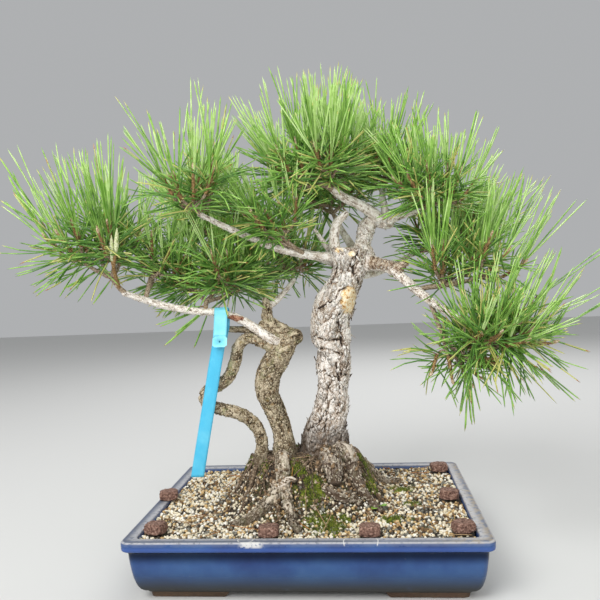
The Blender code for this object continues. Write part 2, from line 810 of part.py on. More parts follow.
# Foliage masses: the bough each stem grows from, the stem's route, the pad of shoots
class Mass:
    """One foliage mass: a stem, and shoots spread over a pad by the golden angle."""

    def __init__(self, name, bough, stem, centre, half, shoots, lean, spread=0.75, size=1.0):
        self.name = name
        self.bough = bough
        self.stem = stem
        self.centre = np.array(centre)
        self.half = np.array(half)
        self.count = shoots
        self.lean = np.array(lean)
        self.spread = spread
        self.size = size
        self.shoots = []
        self.twigs = []

    def grow(self, chance):
        """Shoots as (base, axis), the first at the stem's end, and a twig to each."""
        points = smooth_route(self.stem, LIMB_SPANS)
        self.stem_points = points
        turn = chance.uniform(0, 2 * math.pi)
        for index in range(self.count):
            radial = math.sqrt((index + PAD_START) / self.count)
            angle = turn + index * GOLDEN
            out = np.array((math.cos(angle), math.sin(angle), 0.0)) * radial
            dome = 1.0 - radial ** 2 + chance.uniform(-PAD_JITTER, PAD_JITTER)
            base = self.centre + out * self.half + np.array((0.0, 0.0, dome * self.half[2]))
            tilt = np.array([chance.uniform(-TILT_JITTER, TILT_JITTER) for _ in range(3)])
            axis = unit(self.lean + out * self.spread + tilt)
            self.shoots.append((base, axis))
            share = TWIG_FROM + (1.0 - TWIG_FROM) * (1.0 - radial)
            start = points[min(len(points) - 1, int(len(points) * share))]
            reach = base - start[:3]
            sag = TWIG_SAG * np.linalg.norm(reach) * axis
            middle = start[:3] + TWIG_BEND_AT * reach - sag
            inside = base + axis * SHOOT_LENGTH * SHOOT_SINK
            thick = min(start[3], TWIG_RADII[0])
            self.twigs.append(np.array([
                (*start[:3], thick),
                (*middle, TWIG_RADII[1]),
                (*base, TWIG_RADII[2]),
                (*inside, TWIG_RADII[3]),
            ]))

    def capsules(self):
        pieces = []
        for low, high in zip(self.stem_points[:-1], self.stem_points[1:]):
            pieces.append((low[:3], high[:3], low[3]))
        for twig in self.twigs:
            for low, high in zip(twig[:-1], twig[1:]):
                pieces.append((low[:3], high[:3], low[3]))
        return pieces


MASSES = [
    Mass("far_left_needles", LEFT_BOUGH,
         [(-0.193, -0.054, 0.3095, 0.0030), (-0.201, -0.055, 0.317, 0.0028), (-0.210, -0.052, 0.328, 0.0024),
          (-0.220, -0.048, 0.338, 0.0022)],
         (-0.214, -0.046, 0.348), (0.040, 0.028, 0.010), 4, (-0.14, -0.10, 1.0)),
    Mass("left_spur_needles", LEFT_BOUGH,
         [(-0.174, -0.049, 0.302, 0.0028), (-0.172, -0.044, 0.314, 0.0027), (-0.172, -0.034, 0.326, 0.0023)],
         (-0.168, -0.020, 0.332), (0.014, 0.014, 0.004), 2, (0.10, 0.30, 1.0), 0.6, 0.9),
    Mass("upper_left_needles", UPPER_LEFT_BOUGH,
         [(-0.1035, -0.056, 0.3915, 0.0023), (-0.109, -0.059, 0.397, 0.0022), (-0.114, -0.060, 0.402, 0.0020)],
         (-0.112, -0.060, 0.404), (0.028, 0.026, 0.006), 4, (-0.12, -0.12, 1.0), 0.75, 0.97),
    Mass("inner_left_needles", UPPER_LEFT_BOUGH,
         [(0.004, -0.006, 0.3455, 0.0028), (-0.006, -0.016, 0.353, 0.0026), (-0.018, -0.028, 0.364, 0.0022)],
         (-0.024, -0.034, 0.370), (0.020, 0.014, 0.004), 2, (-0.40, -0.25, 0.9), 0.7, 0.85),
    Mass("top_needles", TOP_LEFT_BOUGH,
         [(0.0415, -0.009, 0.416, 0.0042), (0.031, -0.013, 0.423, 0.0036), (0.020, -0.014, 0.430, 0.0030)],
         (0.020, -0.012, 0.432), (0.044, 0.036, 0.008), 6, (-0.10, -0.02, 1.0), 0.75, 0.93),
    Mass("top_middle_needles", TOP_MIDDLE_BOUGH,
         [(0.0955, 0.0285, 0.4175, 0.0028), (0.096, 0.034, 0.426, 0.0026), (0.096, 0.040, 0.434, 0.0022)],
         (0.094, 0.042, 0.436), (0.024, 0.024, 0.005), 3, (0.02, 0.16, 1.0), 0.75, 0.85),
    Mass("top_right_needles", TOP_RIGHT_BOUGH,
         [(0.135, -0.003, 0.390, 0.0027), (0.142, -0.007, 0.394, 0.0025), (0.147, -0.012, 0.400, 0.0021)],
         (0.148, -0.014, 0.402), (0.028, 0.024, 0.005), 4, (-0.04, -0.12, 1.0), 0.75, 0.82),
    Mass("right_middle_needles", RIGHT_BOUGH,
         [(0.127, -0.026, 0.300, 0.0032), (0.138, -0.023, 0.303, 0.0030), (0.158, -0.016, 0.304, 0.0027),
          (0.172, -0.012, 0.308, 0.0023)],
         (0.178, -0.010, 0.312), (0.038, 0.026, 0.006), 4, (0.34, -0.05, 1.0), 0.75, 0.97),
    Mass("right_lower_needles", RIGHT_BOUGH,
         [(0.1625, -0.056, 0.2725, 0.0028), (0.172, -0.063, 0.266, 0.0027), (0.184, -0.066, 0.254, 0.0023)],
         (0.197, -0.064, 0.243), (0.030, 0.026, 0.012), 5, (0.70, -0.25, 0.26), 0.75, 0.95),
    Mass("right_hanging_needles", RIGHT_BOUGH,
         [(0.139, -0.0355, 0.289, 0.0027), (0.144, -0.036, 0.275, 0.0025), (0.150, -0.040, 0.256, 0.0023),
          (0.160, -0.048, 0.238, 0.0020)],
         (0.166, -0.050, 0.226), (0.016, 0.022, 0.004), 3, (0.50, -0.15, -0.30), 0.75, 0.82),
    Mass("centre_left_needles", LEFT_BOUGH,
         [(-0.110, -0.0335, 0.286, 0.0027), (-0.111, -0.022, 0.297, 0.0025), (-0.106, -0.006, 0.306, 0.0022)],
         (-0.096, 0.010, 0.314), (0.046, 0.026, 0.006), 5, (-0.10, 0.15, 1.0), 0.85, 0.95),
    Mass("back_middle_needles", SPUR_BOUGH,
         [(-0.018, 0.038, 0.3165, 0.0026), (-0.018, 0.052, 0.326, 0.0024), (-0.024, 0.068, 0.332, 0.0021)],
         (-0.026, 0.080, 0.334), (0.030, 0.018, 0.006), 3, (-0.05, 0.60, 0.60), 0.75, 0.85),
    Mass("back_left_needles", BACK_LEFT_BOUGH,
         [(-0.071, 0.077, 0.370, 0.0029), (-0.084, 0.080, 0.376, 0.0026), (-0.098, 0.084, 0.382, 0.0022)],
         (-0.104, 0.084, 0.388), (0.036, 0.026, 0.008), 4, (-0.35, 0.25, 1.0), 0.75, 0.9),
    Mass("back_centre_needles", BACK_CENTRE_BOUGH,
         [(0.039, 0.0625, 0.388, 0.0029), (0.034, 0.068, 0.400, 0.0026), (0.030, 0.076, 0.410, 0.0022)],
         (0.028, 0.080, 0.414), (0.034, 0.020, 0.006), 4, (-0.05, 0.35, 0.95), 0.75, 0.9),
    Mass("back_right_needles", BACK_RIGHT_BOUGH,
         [(0.130, 0.0805, 0.3435, 0.0028), (0.144, 0.084, 0.348, 0.0026), (0.162, 0.086, 0.354, 0.0022)],
         (0.178, 0.084, 0.358), (0.034, 0.024, 0.006), 4, (0.34, 0.28, 1.0), 0.75, 0.9),
]


def segment_gaps(start, end, lows, highs):
    """Shortest distances from one segment to many others."""
    u = end - start
    v = highs - lows
    w = start - lows
    a = u.dot(u)
    b = v @ u
    c = np.einsum("ij,ij->i", v, v)
    d = w @ u
    e = np.einsum("ij,ij->i", v, w)
    wide = np.maximum(a * c - b * b, 1e-12)
    s = np.clip((b * e - c * d) / wide, 0.0, 1.0)
    t = np.clip((b * s + e) / np.maximum(c, 1e-12), 0.0, 1.0)
    s = np.clip((b * t - d) / a, 0.0, 1.0)
    nearest = start + s[:, None] * u - lows - t[:, None] * v
    return np.linalg.norm(nearest, axis=1)


class Space:
    """What a needle may not cross: other shoots' cells, limbs, twigs, cores and the label."""

    def __init__(self, limbs, masses):
        pieces = []
        owners = []
        for limb in limbs:
            for piece in limb.capsules():
                pieces.append(piece)
                owners.append(None)
        for piece in label_capsules():
            pieces.append(piece)
            owners.append(None)
        centres = []
        for mass in masses:
            for piece in mass.capsules():
                pieces.append(piece)
                owners.append(None)
            for index, (base, axis) in enumerate(mass.shoots):
                pieces.append((base, base + axis * SHOOT_LENGTH, SHOOT_RADIUS))
                owners.append((mass.name, index))
                centres.append(base + axis * CELL_AHEAD)
        self.lows = np.array([piece[0] for piece in pieces])
        self.highs = np.array([piece[1] for piece in pieces])
        self.radii = np.array([piece[2] for piece in pieces])
        self.owners = owners
        self.centres = np.array(centres)

    def own_pieces(self, base, axis, owner):
        """True for the pieces that may touch this shoot: its own core and the twig under it."""
        tip = base + axis * SHOOT_LENGTH * SHOOT_SINK
        near_low = np.linalg.norm(self.lows - base, axis=1) < 1e-6
        near_high = np.linalg.norm(self.highs - base, axis=1) < 1e-6
        near_tip = np.linalg.norm(self.highs - tip, axis=1) < 1e-6
        mine = np.array([entry == owner for entry in self.owners])
        return near_low | near_high | near_tip | mine

    def reach(self, root, direction, wanted, centre, skip):
        """The longest needle up to the wanted length that stays in its space, or zero."""
        others = self.centres[np.linalg.norm(self.centres - centre, axis=1) > 1e-6]
        away = others - centre
        distance = np.linalg.norm(away, axis=1)
        normals = away / distance[:, None]
        room = distance / 2 - CELL_MARGIN - (root - centre) @ normals.T
        speed = normals @ direction
        if (room <= 0).any():
            return 0.0
        ahead = speed > 1e-6
        longest = min(wanted, (room[ahead] / speed[ahead]).min()) if ahead.any() else wanted
        for share in NEEDLE_TRIALS:
            length = longest * share
            if length < NEEDLE_LEAST:
                return 0.0
            gaps = segment_gaps(root, root + direction * length, self.lows, self.highs)
            if (gaps[~skip] > self.radii[~skip] + NEEDLE_CLEAR).all():
                return length
        return 0.0


def shoot_mesh(base, axis, size, space, owner, chance):
    """A slim faceted core; each of its faces is drawn out into one needle."""
    side = any_normal(axis)
    over = np.cross(axis, side)
    centre = base + axis * CELL_AHEAD
    skip = space.own_pieces(base, axis, owner)
    vertices = []
    for tier in range(SHOOT_TIERS + 1):
        for corner in range(SHOOT_SIDES):
            angle = 2 * math.pi * (corner + 0.5 * tier) / SHOOT_SIDES
            out = math.cos(angle) * side + math.sin(angle) * over
            along = SHOOT_LENGTH * tier / SHOOT_TIERS
            vertices.append(base + axis * along + out * SHOOT_RADIUS * SHOOT_TAPER[tier])
    vertices.append(base + axis * (SHOOT_LENGTH + SHOOT_PEAK))
    peak = len(vertices) - 1
    patches = []
    for tier in range(SHOOT_TIERS):
        low = tier * SHOOT_SIDES
        high = low + SHOOT_SIDES
        for corner in range(SHOOT_SIDES):
            after = (corner + 1) % SHOOT_SIDES
            patches.append((low + corner, low + after, high + corner))
            patches.append((low + after, high + after, high + corner))
    top = SHOOT_TIERS * SHOOT_SIDES
    for corner in range(SHOOT_SIDES):
        patches.append((top + corner, top + (corner + 1) % SHOOT_SIDES, peak))
    faces = [tuple(reversed(range(SHOOT_SIDES)))]
    for patch in patches:
        root = sum(vertices[index] for index in patch) / 3
        along = (root - base).dot(axis) / SHOOT_LENGTH
        out = unit((root - base) - axis * (root - base).dot(axis))
        angle = NEEDLE_ANGLE_BACK + (NEEDLE_ANGLE_TIP - NEEDLE_ANGLE_BACK) * min(along, 1.0) ** 0.8
        angle += chance.uniform(-NEEDLE_ANGLE_JITTER, NEEDLE_ANGLE_JITTER)
        direction = unit(axis * math.cos(angle) + out * math.sin(angle))
        wanted = NEEDLE_SHORT + (NEEDLE_LONG - NEEDLE_SHORT) * min(1.0, 0.15 + along) ** 0.7
        wanted *= size * chance.uniform(*NEEDLE_LENGTH_SPREAD)
        length = space.reach(root, direction, wanted, centre, skip)
        if length == 0.0:
            faces.append(patch)
            continue
        vertices.append(root + direction * length)
        tip = len(vertices) - 1
        for index in range(3):
            faces.append((patch[index], patch[(index + 1) % 3], tip))
    return vertices, faces


def make_mass(mass, space, chance):
    """Stem, twigs and shoots joined by one union, cut clear of the bough."""
    parts = []
    for twig in mass.twigs:
        parts.append(add_object("twig", *tube_mesh(twig, TWIG_SIDES), "pine_needles"))
    for index, (base, axis) in enumerate(mass.shoots):
        shape = shoot_mesh(base, axis, mass.size, space, (mass.name, index), chance)
        parts.append(add_object("shoot", *shape, "pine_needles"))
    solid = add_object(mass.name, *tube_mesh(mass.stem_points, BOUGH_SIDES), "pine_needles")
    join(solid, parts, "MANIFOLD")
    cut(solid, [mass.bough.cutter()], "MANIFOLD")
    keep_largest_body(solid)
    return solid


# Fertiliser cakes on the soil along the rim
CAKES = [
    ("cake_left_back", -0.171, -0.006, 12),
    ("cake_left_front", -0.156, -0.103, -8),
    ("cake_front_left", -0.036, -0.1115, 4),
    ("cake_front_right", 0.065, -0.1115, -3),
    ("cake_right_front", 0.157, -0.103, 20),
    ("cake_right_middle", 0.157, -0.004, -14),
    ("cake_right_back", 0.157, 0.104, 9),
]


def cake_seat(x, y):
    """Height of what a cake lies on: the rim where it reaches over it, or else the soil."""
    over_rim = abs(x) + CAKE_SIZE[0] / 2 > POT_LENGTH / 2 - RIM_WIDTH + 0.002
    return POT_HEIGHT if over_rim else soil_height(x, y)


def make_cake(name, x, y, turn, chance):
    """A pressed lump with a flat underside and uneven rounded edges."""
    edit = bmesh.new()
    bmesh.ops.create_icosphere(edit, subdivisions=2, radius=0.5)
    for vertex in edit.verts:
        place = vertex.co
        for index in range(3):
            place[index] = math.copysign(min(abs(place[index]) * CAKE_SQUARENESS, 0.5), place[index])
        place *= chance.uniform(*CAKE_UNEVEN)
        place.x *= CAKE_SIZE[0]
        place.y *= CAKE_SIZE[1]
        place.z = max(place.z, CAKE_UNDERSIDE) * CAKE_SIZE[2]
    foot = min(vertex.co.z for vertex in edit.verts)
    height = cake_seat(x, y) + GAP - foot
    bmesh.ops.transform(edit, matrix=Matrix.Rotation(math.radians(turn), 4, "Z"), verts=edit.verts)
    bmesh.ops.translate(edit, vec=(x, y, height), verts=edit.verts)
    vertices = [vertex.co.copy() for vertex in edit.verts]
    faces = [tuple(vertex.index for vertex in face.verts) for face in edit.faces]
    edit.free()
    return add_object(name, vertices, faces, "fertiliser")


# Label: one plastic strip that hangs free, goes over the left bough and ends behind itself
LABEL_HANG = [
    (-0.1255, -0.0430, 0.1010),
    (-0.1075, -0.0402, 0.1900),
    (-0.0950, -0.0380, 0.2520),
    (-0.0925, -0.0370, 0.2740),
]
LABEL_OVER = (-0.0920, -0.0290, 0.2835)
LABEL_BEND = 0.0078
LABEL_BEND_STEPS = 6
LABEL_BACK = [
    (-0.0925, -0.0235, 0.2700),
    (-0.0932, -0.0315, 0.2600),
    (-0.0940, -0.0355, 0.2520),
]


def label_route():
    """From the free lower end up the front, over the bough and down to the tail."""
    x, y, z = LABEL_OVER
    route = list(LABEL_HANG)
    for step in range(LABEL_BEND_STEPS + 1):
        angle = math.pi * (1 - step / LABEL_BEND_STEPS)
        route.append((x, y + LABEL_BEND * math.cos(angle), z + LABEL_BEND * math.sin(angle)))
    route.extend(LABEL_BACK)
    return np.array(route)


def label_capsules():
    """The label's centre line with half its width, for keeping needles clear."""
    route = label_route()
    return [(low, high, LABEL_WIDTH / 2) for low, high in zip(route[:-1], route[1:])]


def make_label():
    """A flat strip of even thickness: its width lies along X, its bends in the YZ plane."""
    route = label_route()
    tangents = np.gradient(route, axis=0)
    outline = []
    for point, tangent in zip(route, tangents):
        normal = unit(np.array((0.0, -tangent[2], tangent[1])))
        ring = []
        for along, deep in ((-1, -1), (1, -1), (1, 1), (-1, 1)):
            place = point + normal * deep * LABEL_THICKNESS / 2
            ring.append(place + np.array((along * LABEL_WIDTH / 2, 0.0, 0.0)))
        outline.append(ring)
    vertices = [corner for ring in outline for corner in ring]
    faces = [(0, 1, 2, 3)]
    for ring in range(len(outline) - 1):
        low = 4 * ring
        for corner in range(4):
            after = (corner + 1) % 4
            faces.append((low + corner, low + 4 + corner, low + 4 + after, low + after))
    last = 4 * (len(outline) - 1)
    faces.append((last + 3, last + 2, last + 1, last))
    return add_object("plant_label", vertices, faces, "label_plastic")


def main():
    for old in list(bpy.data.objects):
        bpy.data.objects.remove(old, do_unlink=True)
    chance = random.Random(SEED)
    made = [make_pot(), make_soil()]
    made.extend(make_limbs().values())
    for mass in MASSES:
        mass.grow(chance)
    limbs = [limb for limb, _ in LIMB_PARENTS] + [SECOND_TRUNK_HEAD]
    space = Space(limbs, MASSES)
    for mass in MASSES:
        made.append(make_mass(mass, space, chance))
    for cake in CAKES:
        made.append(make_cake(*cake, chance))
    made.append(make_label())
    plant = bpy.data.objects.new("plant", None)
    bpy.context.scene.collection.objects.link(plant)
    for thing in made:
        thing.parent = plant
    total = 0
    for thing in made:
        thing.data.calc_loop_triangles()
        total += len(thing.data.loop_triangles)
    print("nodes", len(made), "triangles", total)


main()
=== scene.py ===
# %% [markdown]
# # An old black pine bonsai in a glazed tray
# The plant has five kinds of surface: glazed stoneware, loose grit, bark, needles and a
# few small things such as feed cakes and a label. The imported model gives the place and
# size of each piece. Here each one gets its real shape and finish.

# %% The frame
import math
import random

import bmesh
import bpy
import numpy as np
from mathutils import Matrix, Vector, noise


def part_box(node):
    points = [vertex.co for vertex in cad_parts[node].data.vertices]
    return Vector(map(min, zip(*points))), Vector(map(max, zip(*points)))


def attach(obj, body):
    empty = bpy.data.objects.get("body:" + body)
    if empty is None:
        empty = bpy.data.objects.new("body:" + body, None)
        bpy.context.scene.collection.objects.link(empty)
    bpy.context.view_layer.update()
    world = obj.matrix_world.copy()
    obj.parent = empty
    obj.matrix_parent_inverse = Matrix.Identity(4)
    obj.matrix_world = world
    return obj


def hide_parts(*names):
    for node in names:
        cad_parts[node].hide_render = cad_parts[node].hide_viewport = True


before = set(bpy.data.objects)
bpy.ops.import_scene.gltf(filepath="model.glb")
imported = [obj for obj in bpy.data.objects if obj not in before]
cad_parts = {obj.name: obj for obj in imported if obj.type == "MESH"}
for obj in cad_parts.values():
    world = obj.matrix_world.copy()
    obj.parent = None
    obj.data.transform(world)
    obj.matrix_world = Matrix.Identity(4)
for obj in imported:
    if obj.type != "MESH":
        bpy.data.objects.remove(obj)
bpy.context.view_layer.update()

print("nodes in the frame:", len(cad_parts))

# %% [markdown]
# ## Camera
# The photo was taken from just above the rim of the tray, with a slightly long lens. A
# Blender camera looks along its own -Z, so three turns place it: first a small roll about
# its own axis, then up from the ground to the horizon, then left about Z.

# %% Camera
CAMERA_PLACE = (0.0678, -0.7528, 0.3122)
CAMERA_YAW = math.radians(5.57)
CAMERA_PITCH = math.radians(-1.37)
CAMERA_ROLL = math.radians(-2.43)
CAMERA_LENS = 39.0

camera_data = bpy.data.cameras.new("camera")
camera_data.lens = CAMERA_LENS
camera_data.sensor_width = 36.0
camera_data.clip_start = 0.01
camera = bpy.data.objects.new("camera", camera_data)
bpy.context.scene.collection.objects.link(camera)
aim = Matrix.Rotation(CAMERA_YAW, 4, "Z")
aim = aim @ Matrix.Rotation(math.pi / 2 + CAMERA_PITCH, 4, "X")
aim = aim @ Matrix.Rotation(CAMERA_ROLL, 4, "Z")
camera.matrix_world = Matrix.Translation(CAMERA_PLACE) @ aim
bpy.context.scene.camera = camera
print("camera at", CAMERA_PLACE)

# %% [markdown]
# ## Colours and nodes
# A web colour such as #2F4F8F is stored in sRGB, but shaders count light, so each channel
# is turned to linear once, here. A shader is a web of nodes, and the table gives a plain
# word to each node that is used below. One small function adds any of them. A number that
# it is given fills an input, and the result of another node is linked to it.

# %% Colours and nodes
def linear(hex_colour):
    """An sRGB hex colour as the linear RGBA that shaders take."""
    channels = [int(hex_colour[start:start + 2], 16) / 255 for start in (1, 3, 5)]
    light = [c / 12.92 if c <= 0.04045 else ((c + 0.055) / 1.055) ** 2.4 for c in channels]
    return (*light, 1.0)


# Plain word: the node, its settings, its inputs in the order they are given, its result
NODES = {
    "place": ("TexCoord", {}, (), "Object"),
    "across": ("SeparateXYZ", {}, ("Vector",), "X"),
    "deep": ("SeparateXYZ", {}, ("Vector",), "Y"),
    "height": ("SeparateXYZ", {}, ("Vector",), "Z"),
    "layer": ("Attribute", {}, (), "Fac"),
    "noise": ("TexNoise", {}, ("Vector", "Scale", "Detail", "Roughness"), "Fac"),
    "ramp": ("ValToRGB", {}, ("Fac",), "Color"),
    "climb": ("MapRange", {"interpolation_type": "SMOOTHSTEP"},
              ("Value", "From Min", "From Max", "To Min", "To Max"), "Result"),
    "span": ("MapRange", {}, ("Value", "To Min", "To Max"), "Result"),
    "times": ("Math", {"operation": "MULTIPLY"}, (0, 1), 0),
    "plus": ("Math", {"operation": "ADD"}, (0, 1), 0),
    "minus": ("Math", {"operation": "SUBTRACT"}, (0, 1), 0),
    "larger": ("Math", {"operation": "MAXIMUM"}, (0, 1), 0),
    "unsigned": ("Math", {"operation": "ABSOLUTE"}, (0,), 0),
    "distance": ("VectorMath", {"operation": "DISTANCE"}, (0, 1), "Value"),
    "over": ("Mix", {"data_type": "RGBA"}, (0, 6, 7), 2),
    "bump": ("Bump", {}, ("Height", "Distance", "Strength"), "Normal"),
}


def add_node(tree, word, *values, stops=(), **settings):
    """Add one node, set it, fill or link its inputs, place its colour stops, give its result."""
    kind, fixed, inputs, result = NODES[word]
    made = tree.nodes.new("ShaderNode" + kind)
    for name, value in {**fixed, **settings}.items():
        setattr(made, name, value)
    for name, value in zip(inputs, values):
        if isinstance(value, bpy.types.NodeSocket):
            tree.links.new(value, made.inputs[name])
        else:
            made.inputs[name].default_value = value
    if stops:
        while len(made.color_ramp.elements) < len(stops):
            made.color_ramp.elements.new(0.5)
        for element, (position, colour) in zip(made.color_ramp.elements, stops):
            element.position = position
            element.color = linear(colour)
    return made.outputs[result]


def link(shader, **results):
    """Link results of nodes to a shader's sockets."""
    for socket, result in results.items():
        shader.id_data.links.new(result, shader.inputs[socket.replace("_", " ")])


def new_material(name, **constants):
    """A Principled material: its node tree and its shader, with constant sockets set."""
    made = bpy.data.materials.new(name)
    made.use_nodes = True
    shader = made.node_tree.nodes["Principled BSDF"]
    for socket, value in constants.items():
        shader.inputs[socket.replace("_", " ")].default_value = value
    return made, made.node_tree, shader


def per_mm(size):
    """Texture scale whose pattern repeats about once in so many millimetres."""
    return 1000.0 / size


print("kinds of node in the table:", len(NODES))

# %% [markdown]
# ## Light and floor
# A plant is best seen in broad soft light, as from a window: one large lamp high on the
# left of the camera, a weaker one on the right, and one behind to catch the needle tips.
# The floor is staging and isn't part of the plant.

# %% Light and floor
bpy.context.scene.view_settings.view_transform = "Standard"
LAMPS = [
    ("key_lamp", (-0.9, -1.5, 1.7), 1.3, 46.0),
    ("fill_lamp", (0.7, -1.8, 0.6), 1.4, 15.0),
    ("back_lamp", (0.4, 1.5, 1.6), 1.2, 20.0),
]
LAMP_TARGET = Vector((0.0, 0.0, 0.28))

for lamp_name, place, size, power in LAMPS:
    lamp_data = bpy.data.lights.new(lamp_name, "AREA")
    lamp_data.size = size
    lamp_data.energy = power
    lamp = bpy.data.objects.new(lamp_name, lamp_data)
    lamp.location = place
    lamp.rotation_euler = (LAMP_TARGET - Vector(place)).to_track_quat("-Z", "Y").to_euler()
    bpy.context.scene.collection.objects.link(lamp)

world = bpy.data.worlds.new("soft_room")
world.use_nodes = True
world.node_tree.nodes["Background"].inputs["Color"].default_value = linear("#E4E6E8")
world.node_tree.nodes["Background"].inputs["Strength"].default_value = 0.55
bpy.context.scene.world = world

floor_material, _, _ = new_material("painted_board", Base_Color=linear("#CFCFCD"), Roughness=0.75)
floor_mesh = bpy.data.meshes.new("floor")
floor_mesh.from_pydata([(-4, -4, 0), (4, -4, 0), (4, 4, 0), (-4, 4, 0)], [], [(0, 1, 2, 3)])
floor_mesh.materials.append(floor_material)
floor = bpy.data.objects.new("floor", floor_mesh)
bpy.context.scene.collection.objects.link(floor)
print("lamps:", len(LAMPS))

# %% [markdown]
# ## Meshes from numbers
# A needle, a grain or a flake of bark is a handful of triangles, and there are tens of
# thousands of them. Making each with an operator would take minutes, so they are worked
# out as NumPy arrays and written to one mesh in a single call.

# %% Meshes from numbers
class Batch:
    """Triangles gathered from many small shapes, to become one joined mesh."""

    def __init__(self):
        self.points = []
        self.triangles = []
        self.finishes = []
        self.count = 0

    def add(self, points, triangles, finish=0):
        """One shape; its finish is a number for all its triangles or one for each."""
        self.points.append(np.asarray(points, float))
        self.triangles.append(np.asarray(triangles) + self.count)
        self.finishes.append(np.zeros(len(triangles), int) + finish)
        self.count += len(points)

    def add_many(self, shapes, triangles, finishes=0):
        """Many shapes that share one pattern of triangles; finishes may be one for each."""
        count, corners = shapes.shape[:2]
        offsets = corners * np.arange(count)[:, None, None]
        self.add(shapes.reshape(-1, 3), (triangles[None] + offsets).reshape(-1, 3), finishes)


def new_piece(name, batch, materials, replaced=(), smooth=True):
    """One mesh object from a batch; it rides with the plant and may stand for CAD nodes."""
    points = np.concatenate(batch.points).astype(np.float32)
    triangles = np.concatenate(batch.triangles).astype(np.int32)
    mesh = bpy.data.meshes.new(name)
    mesh.vertices.add(len(points))
    mesh.vertices.foreach_set("co", points.ravel())
    mesh.loops.add(triangles.size)
    mesh.loops.foreach_set("vertex_index", triangles.ravel())
    mesh.polygons.add(len(triangles))
    mesh.polygons.foreach_set("loop_start", np.arange(0, triangles.size, 3, dtype=np.int32))
    for material in materials:
        mesh.materials.append(material)
    mesh.polygons.foreach_set("material_index", np.concatenate(batch.finishes).astype(np.int32))
    mesh.update(calc_edges=True)
    if smooth:
        mesh.shade_smooth()
    piece = bpy.data.objects.new(name, mesh)
    bpy.context.scene.collection.objects.link(piece)
    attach(piece, "root")
    if replaced:
        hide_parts(*replaced)
    print(f"{name}: {len(triangles)} triangles")
    return piece


# The corners of a three-sided ring, about a third of a turn apart
THIRDS = (0.0, 2.1, 4.2)


def bands(rings, sides, first=0):
    """Triangles between stacked rings of vertices."""
    corner = np.arange(sides)
    after = (corner + 1) % sides
    low = first + sides * np.arange(rings - 1)[:, None]
    one = np.stack([low + corner, low + after, low + sides + after], axis=-1)
    two = np.stack([low + corner, low + sides + after, low + sides + corner], axis=-1)
    return np.concatenate([one.reshape(-1, 3), two.reshape(-1, 3)])


def fan(first, sides, flipped=False):
    """Triangles that close one ring of vertices."""
    corner = np.arange(1, sides - 1)
    faces = np.stack([np.full(sides - 2, first), first + corner, first + corner + 1], axis=-1)
    return faces[:, ::-1] if flipped else faces


def closed_tube(rings, sides):
    """Triangles of a tube of stacked rings, with both of its ends closed."""
    last = (rings - 1) * sides
    return np.concatenate([bands(rings, sides), fan(0, sides, flipped=True), fan(last, sides)])

# %% [markdown]
# ## The tray
# The tray is a shallow rectangular bonsai pot with a flat rim, a rounded wall and four
# low feet. It could be a cube with insets and bevels, but a potter's profile says more:
# one list of (inset, height) steps runs from under the body, up the wall, over the rim
# and down inside, and an outline with round corners is drawn in by each step's inset.

# %% The tray's shape
def metres(rows):
    """Rows of numbers written down in millimetres, in Blender's metres."""
    return [tuple(round(value / 1000, 6) for value in row) for row in rows]


POT_LENGTH = 0.367
POT_DEPTH = 0.275
POT_HEIGHT = 0.064
POT_CORNER = 0.009
POT_CORNER_STEPS = 7
FOOT_HEIGHT = 0.006
FOOT_INSET = 0.022
FOOT_LONG = 0.084
FOOT_SHORT = 0.056
FOOT_WIDTH = 0.015
FOOT_BEVEL = 0.006
FOOT_DRAFT = 0.0022
DRAIN_RADIUS = 0.009
DRAIN_OFFSET = 0.085

POT_PROFILE = metres([
    (40, 5.6), (22.5, 5.6), (20.5, 6.2), (19.6, 7.4), (18.8, 8.4), (15.8, 9.6), (13.6, 11.8),
    (11.7, 15.3), (10.2, 19.8), (8.7, 25.2), (7.5, 32), (6.6, 39), (6, 44.5), (5.7, 49), (5, 51.7),
    (3, 53.3), (1.3, 54), (0.4, 54.9), (0.1, 56.8), (0.1, 61.2), (0.4, 62.7), (1.3, 63.7), (2.6, 64),
    (11, 63.7), (12.7, 63.4), (13.7, 62.2), (14.1, 59), (14.6, 46), (18.6, 20), (27.5, 15), (45, 15),
])


def rounded_rectangle(half_x, half_y, radius, steps):
    """Corner points of a rectangle with round corners, counter-clockwise."""
    outline = []
    for quarter in range(4):
        sign_x = 1 if quarter in (0, 3) else -1
        sign_y = 1 if quarter in (0, 1) else -1
        for step in range(steps + 1):
            angle = math.pi / 2 * (quarter + step / steps)
            x = sign_x * (half_x - radius) + radius * math.cos(angle)
            y = sign_y * (half_y - radius) + radius * math.sin(angle)
            outline.append((x, y))
    return outline


def stacked(outlines, heights):
    """Vertices and triangles of closed outlines, one above the other, with flat ends."""
    points = []
    for outline, height in zip(outlines, heights):
        points.extend((x, y, height) for x, y in outline)
    return np.array(points), closed_tube(len(outlines), len(outlines[0]))


def pot_outline(inset):
    """The tray's outline drawn in by an inset, with its corners a little sharper."""
    corner = max(POT_CORNER - 0.2 * inset, 0.005)
    return rounded_rectangle(POT_LENGTH / 2 - inset, POT_DEPTH / 2 - inset, corner, POT_CORNER_STEPS)


pot_body = Batch()
pot_body.add(*stacked([pot_outline(inset) for inset, _ in POT_PROFILE],
                      [height for _, height in POT_PROFILE]))
print("steps in the tray's profile:", len(POT_PROFILE))

# %% [markdown]
# ### Glaze
# Deep blue glaze is a layer of glass over stoneware: dark and even in colour, with clear
# reflections. It breaks to a paler tone where it runs thin over an edge, and years of
# hard water leave a chalky line along the rim and earth stains by the foot. Each of these
# is a mask worked out from the place on the tray, mixed over the blue in turn.

# %% Masks and coats
def speckle(place, size, low, high, detail=4.0, roughness=0.6):
    """A patchy mask: noise of a size in millimetres, cut between two levels."""
    tree = place.id_data
    patches = add_node(tree, "noise", place, per_mm(size), detail, roughness)
    return add_node(tree, "climb", patches, low, high)


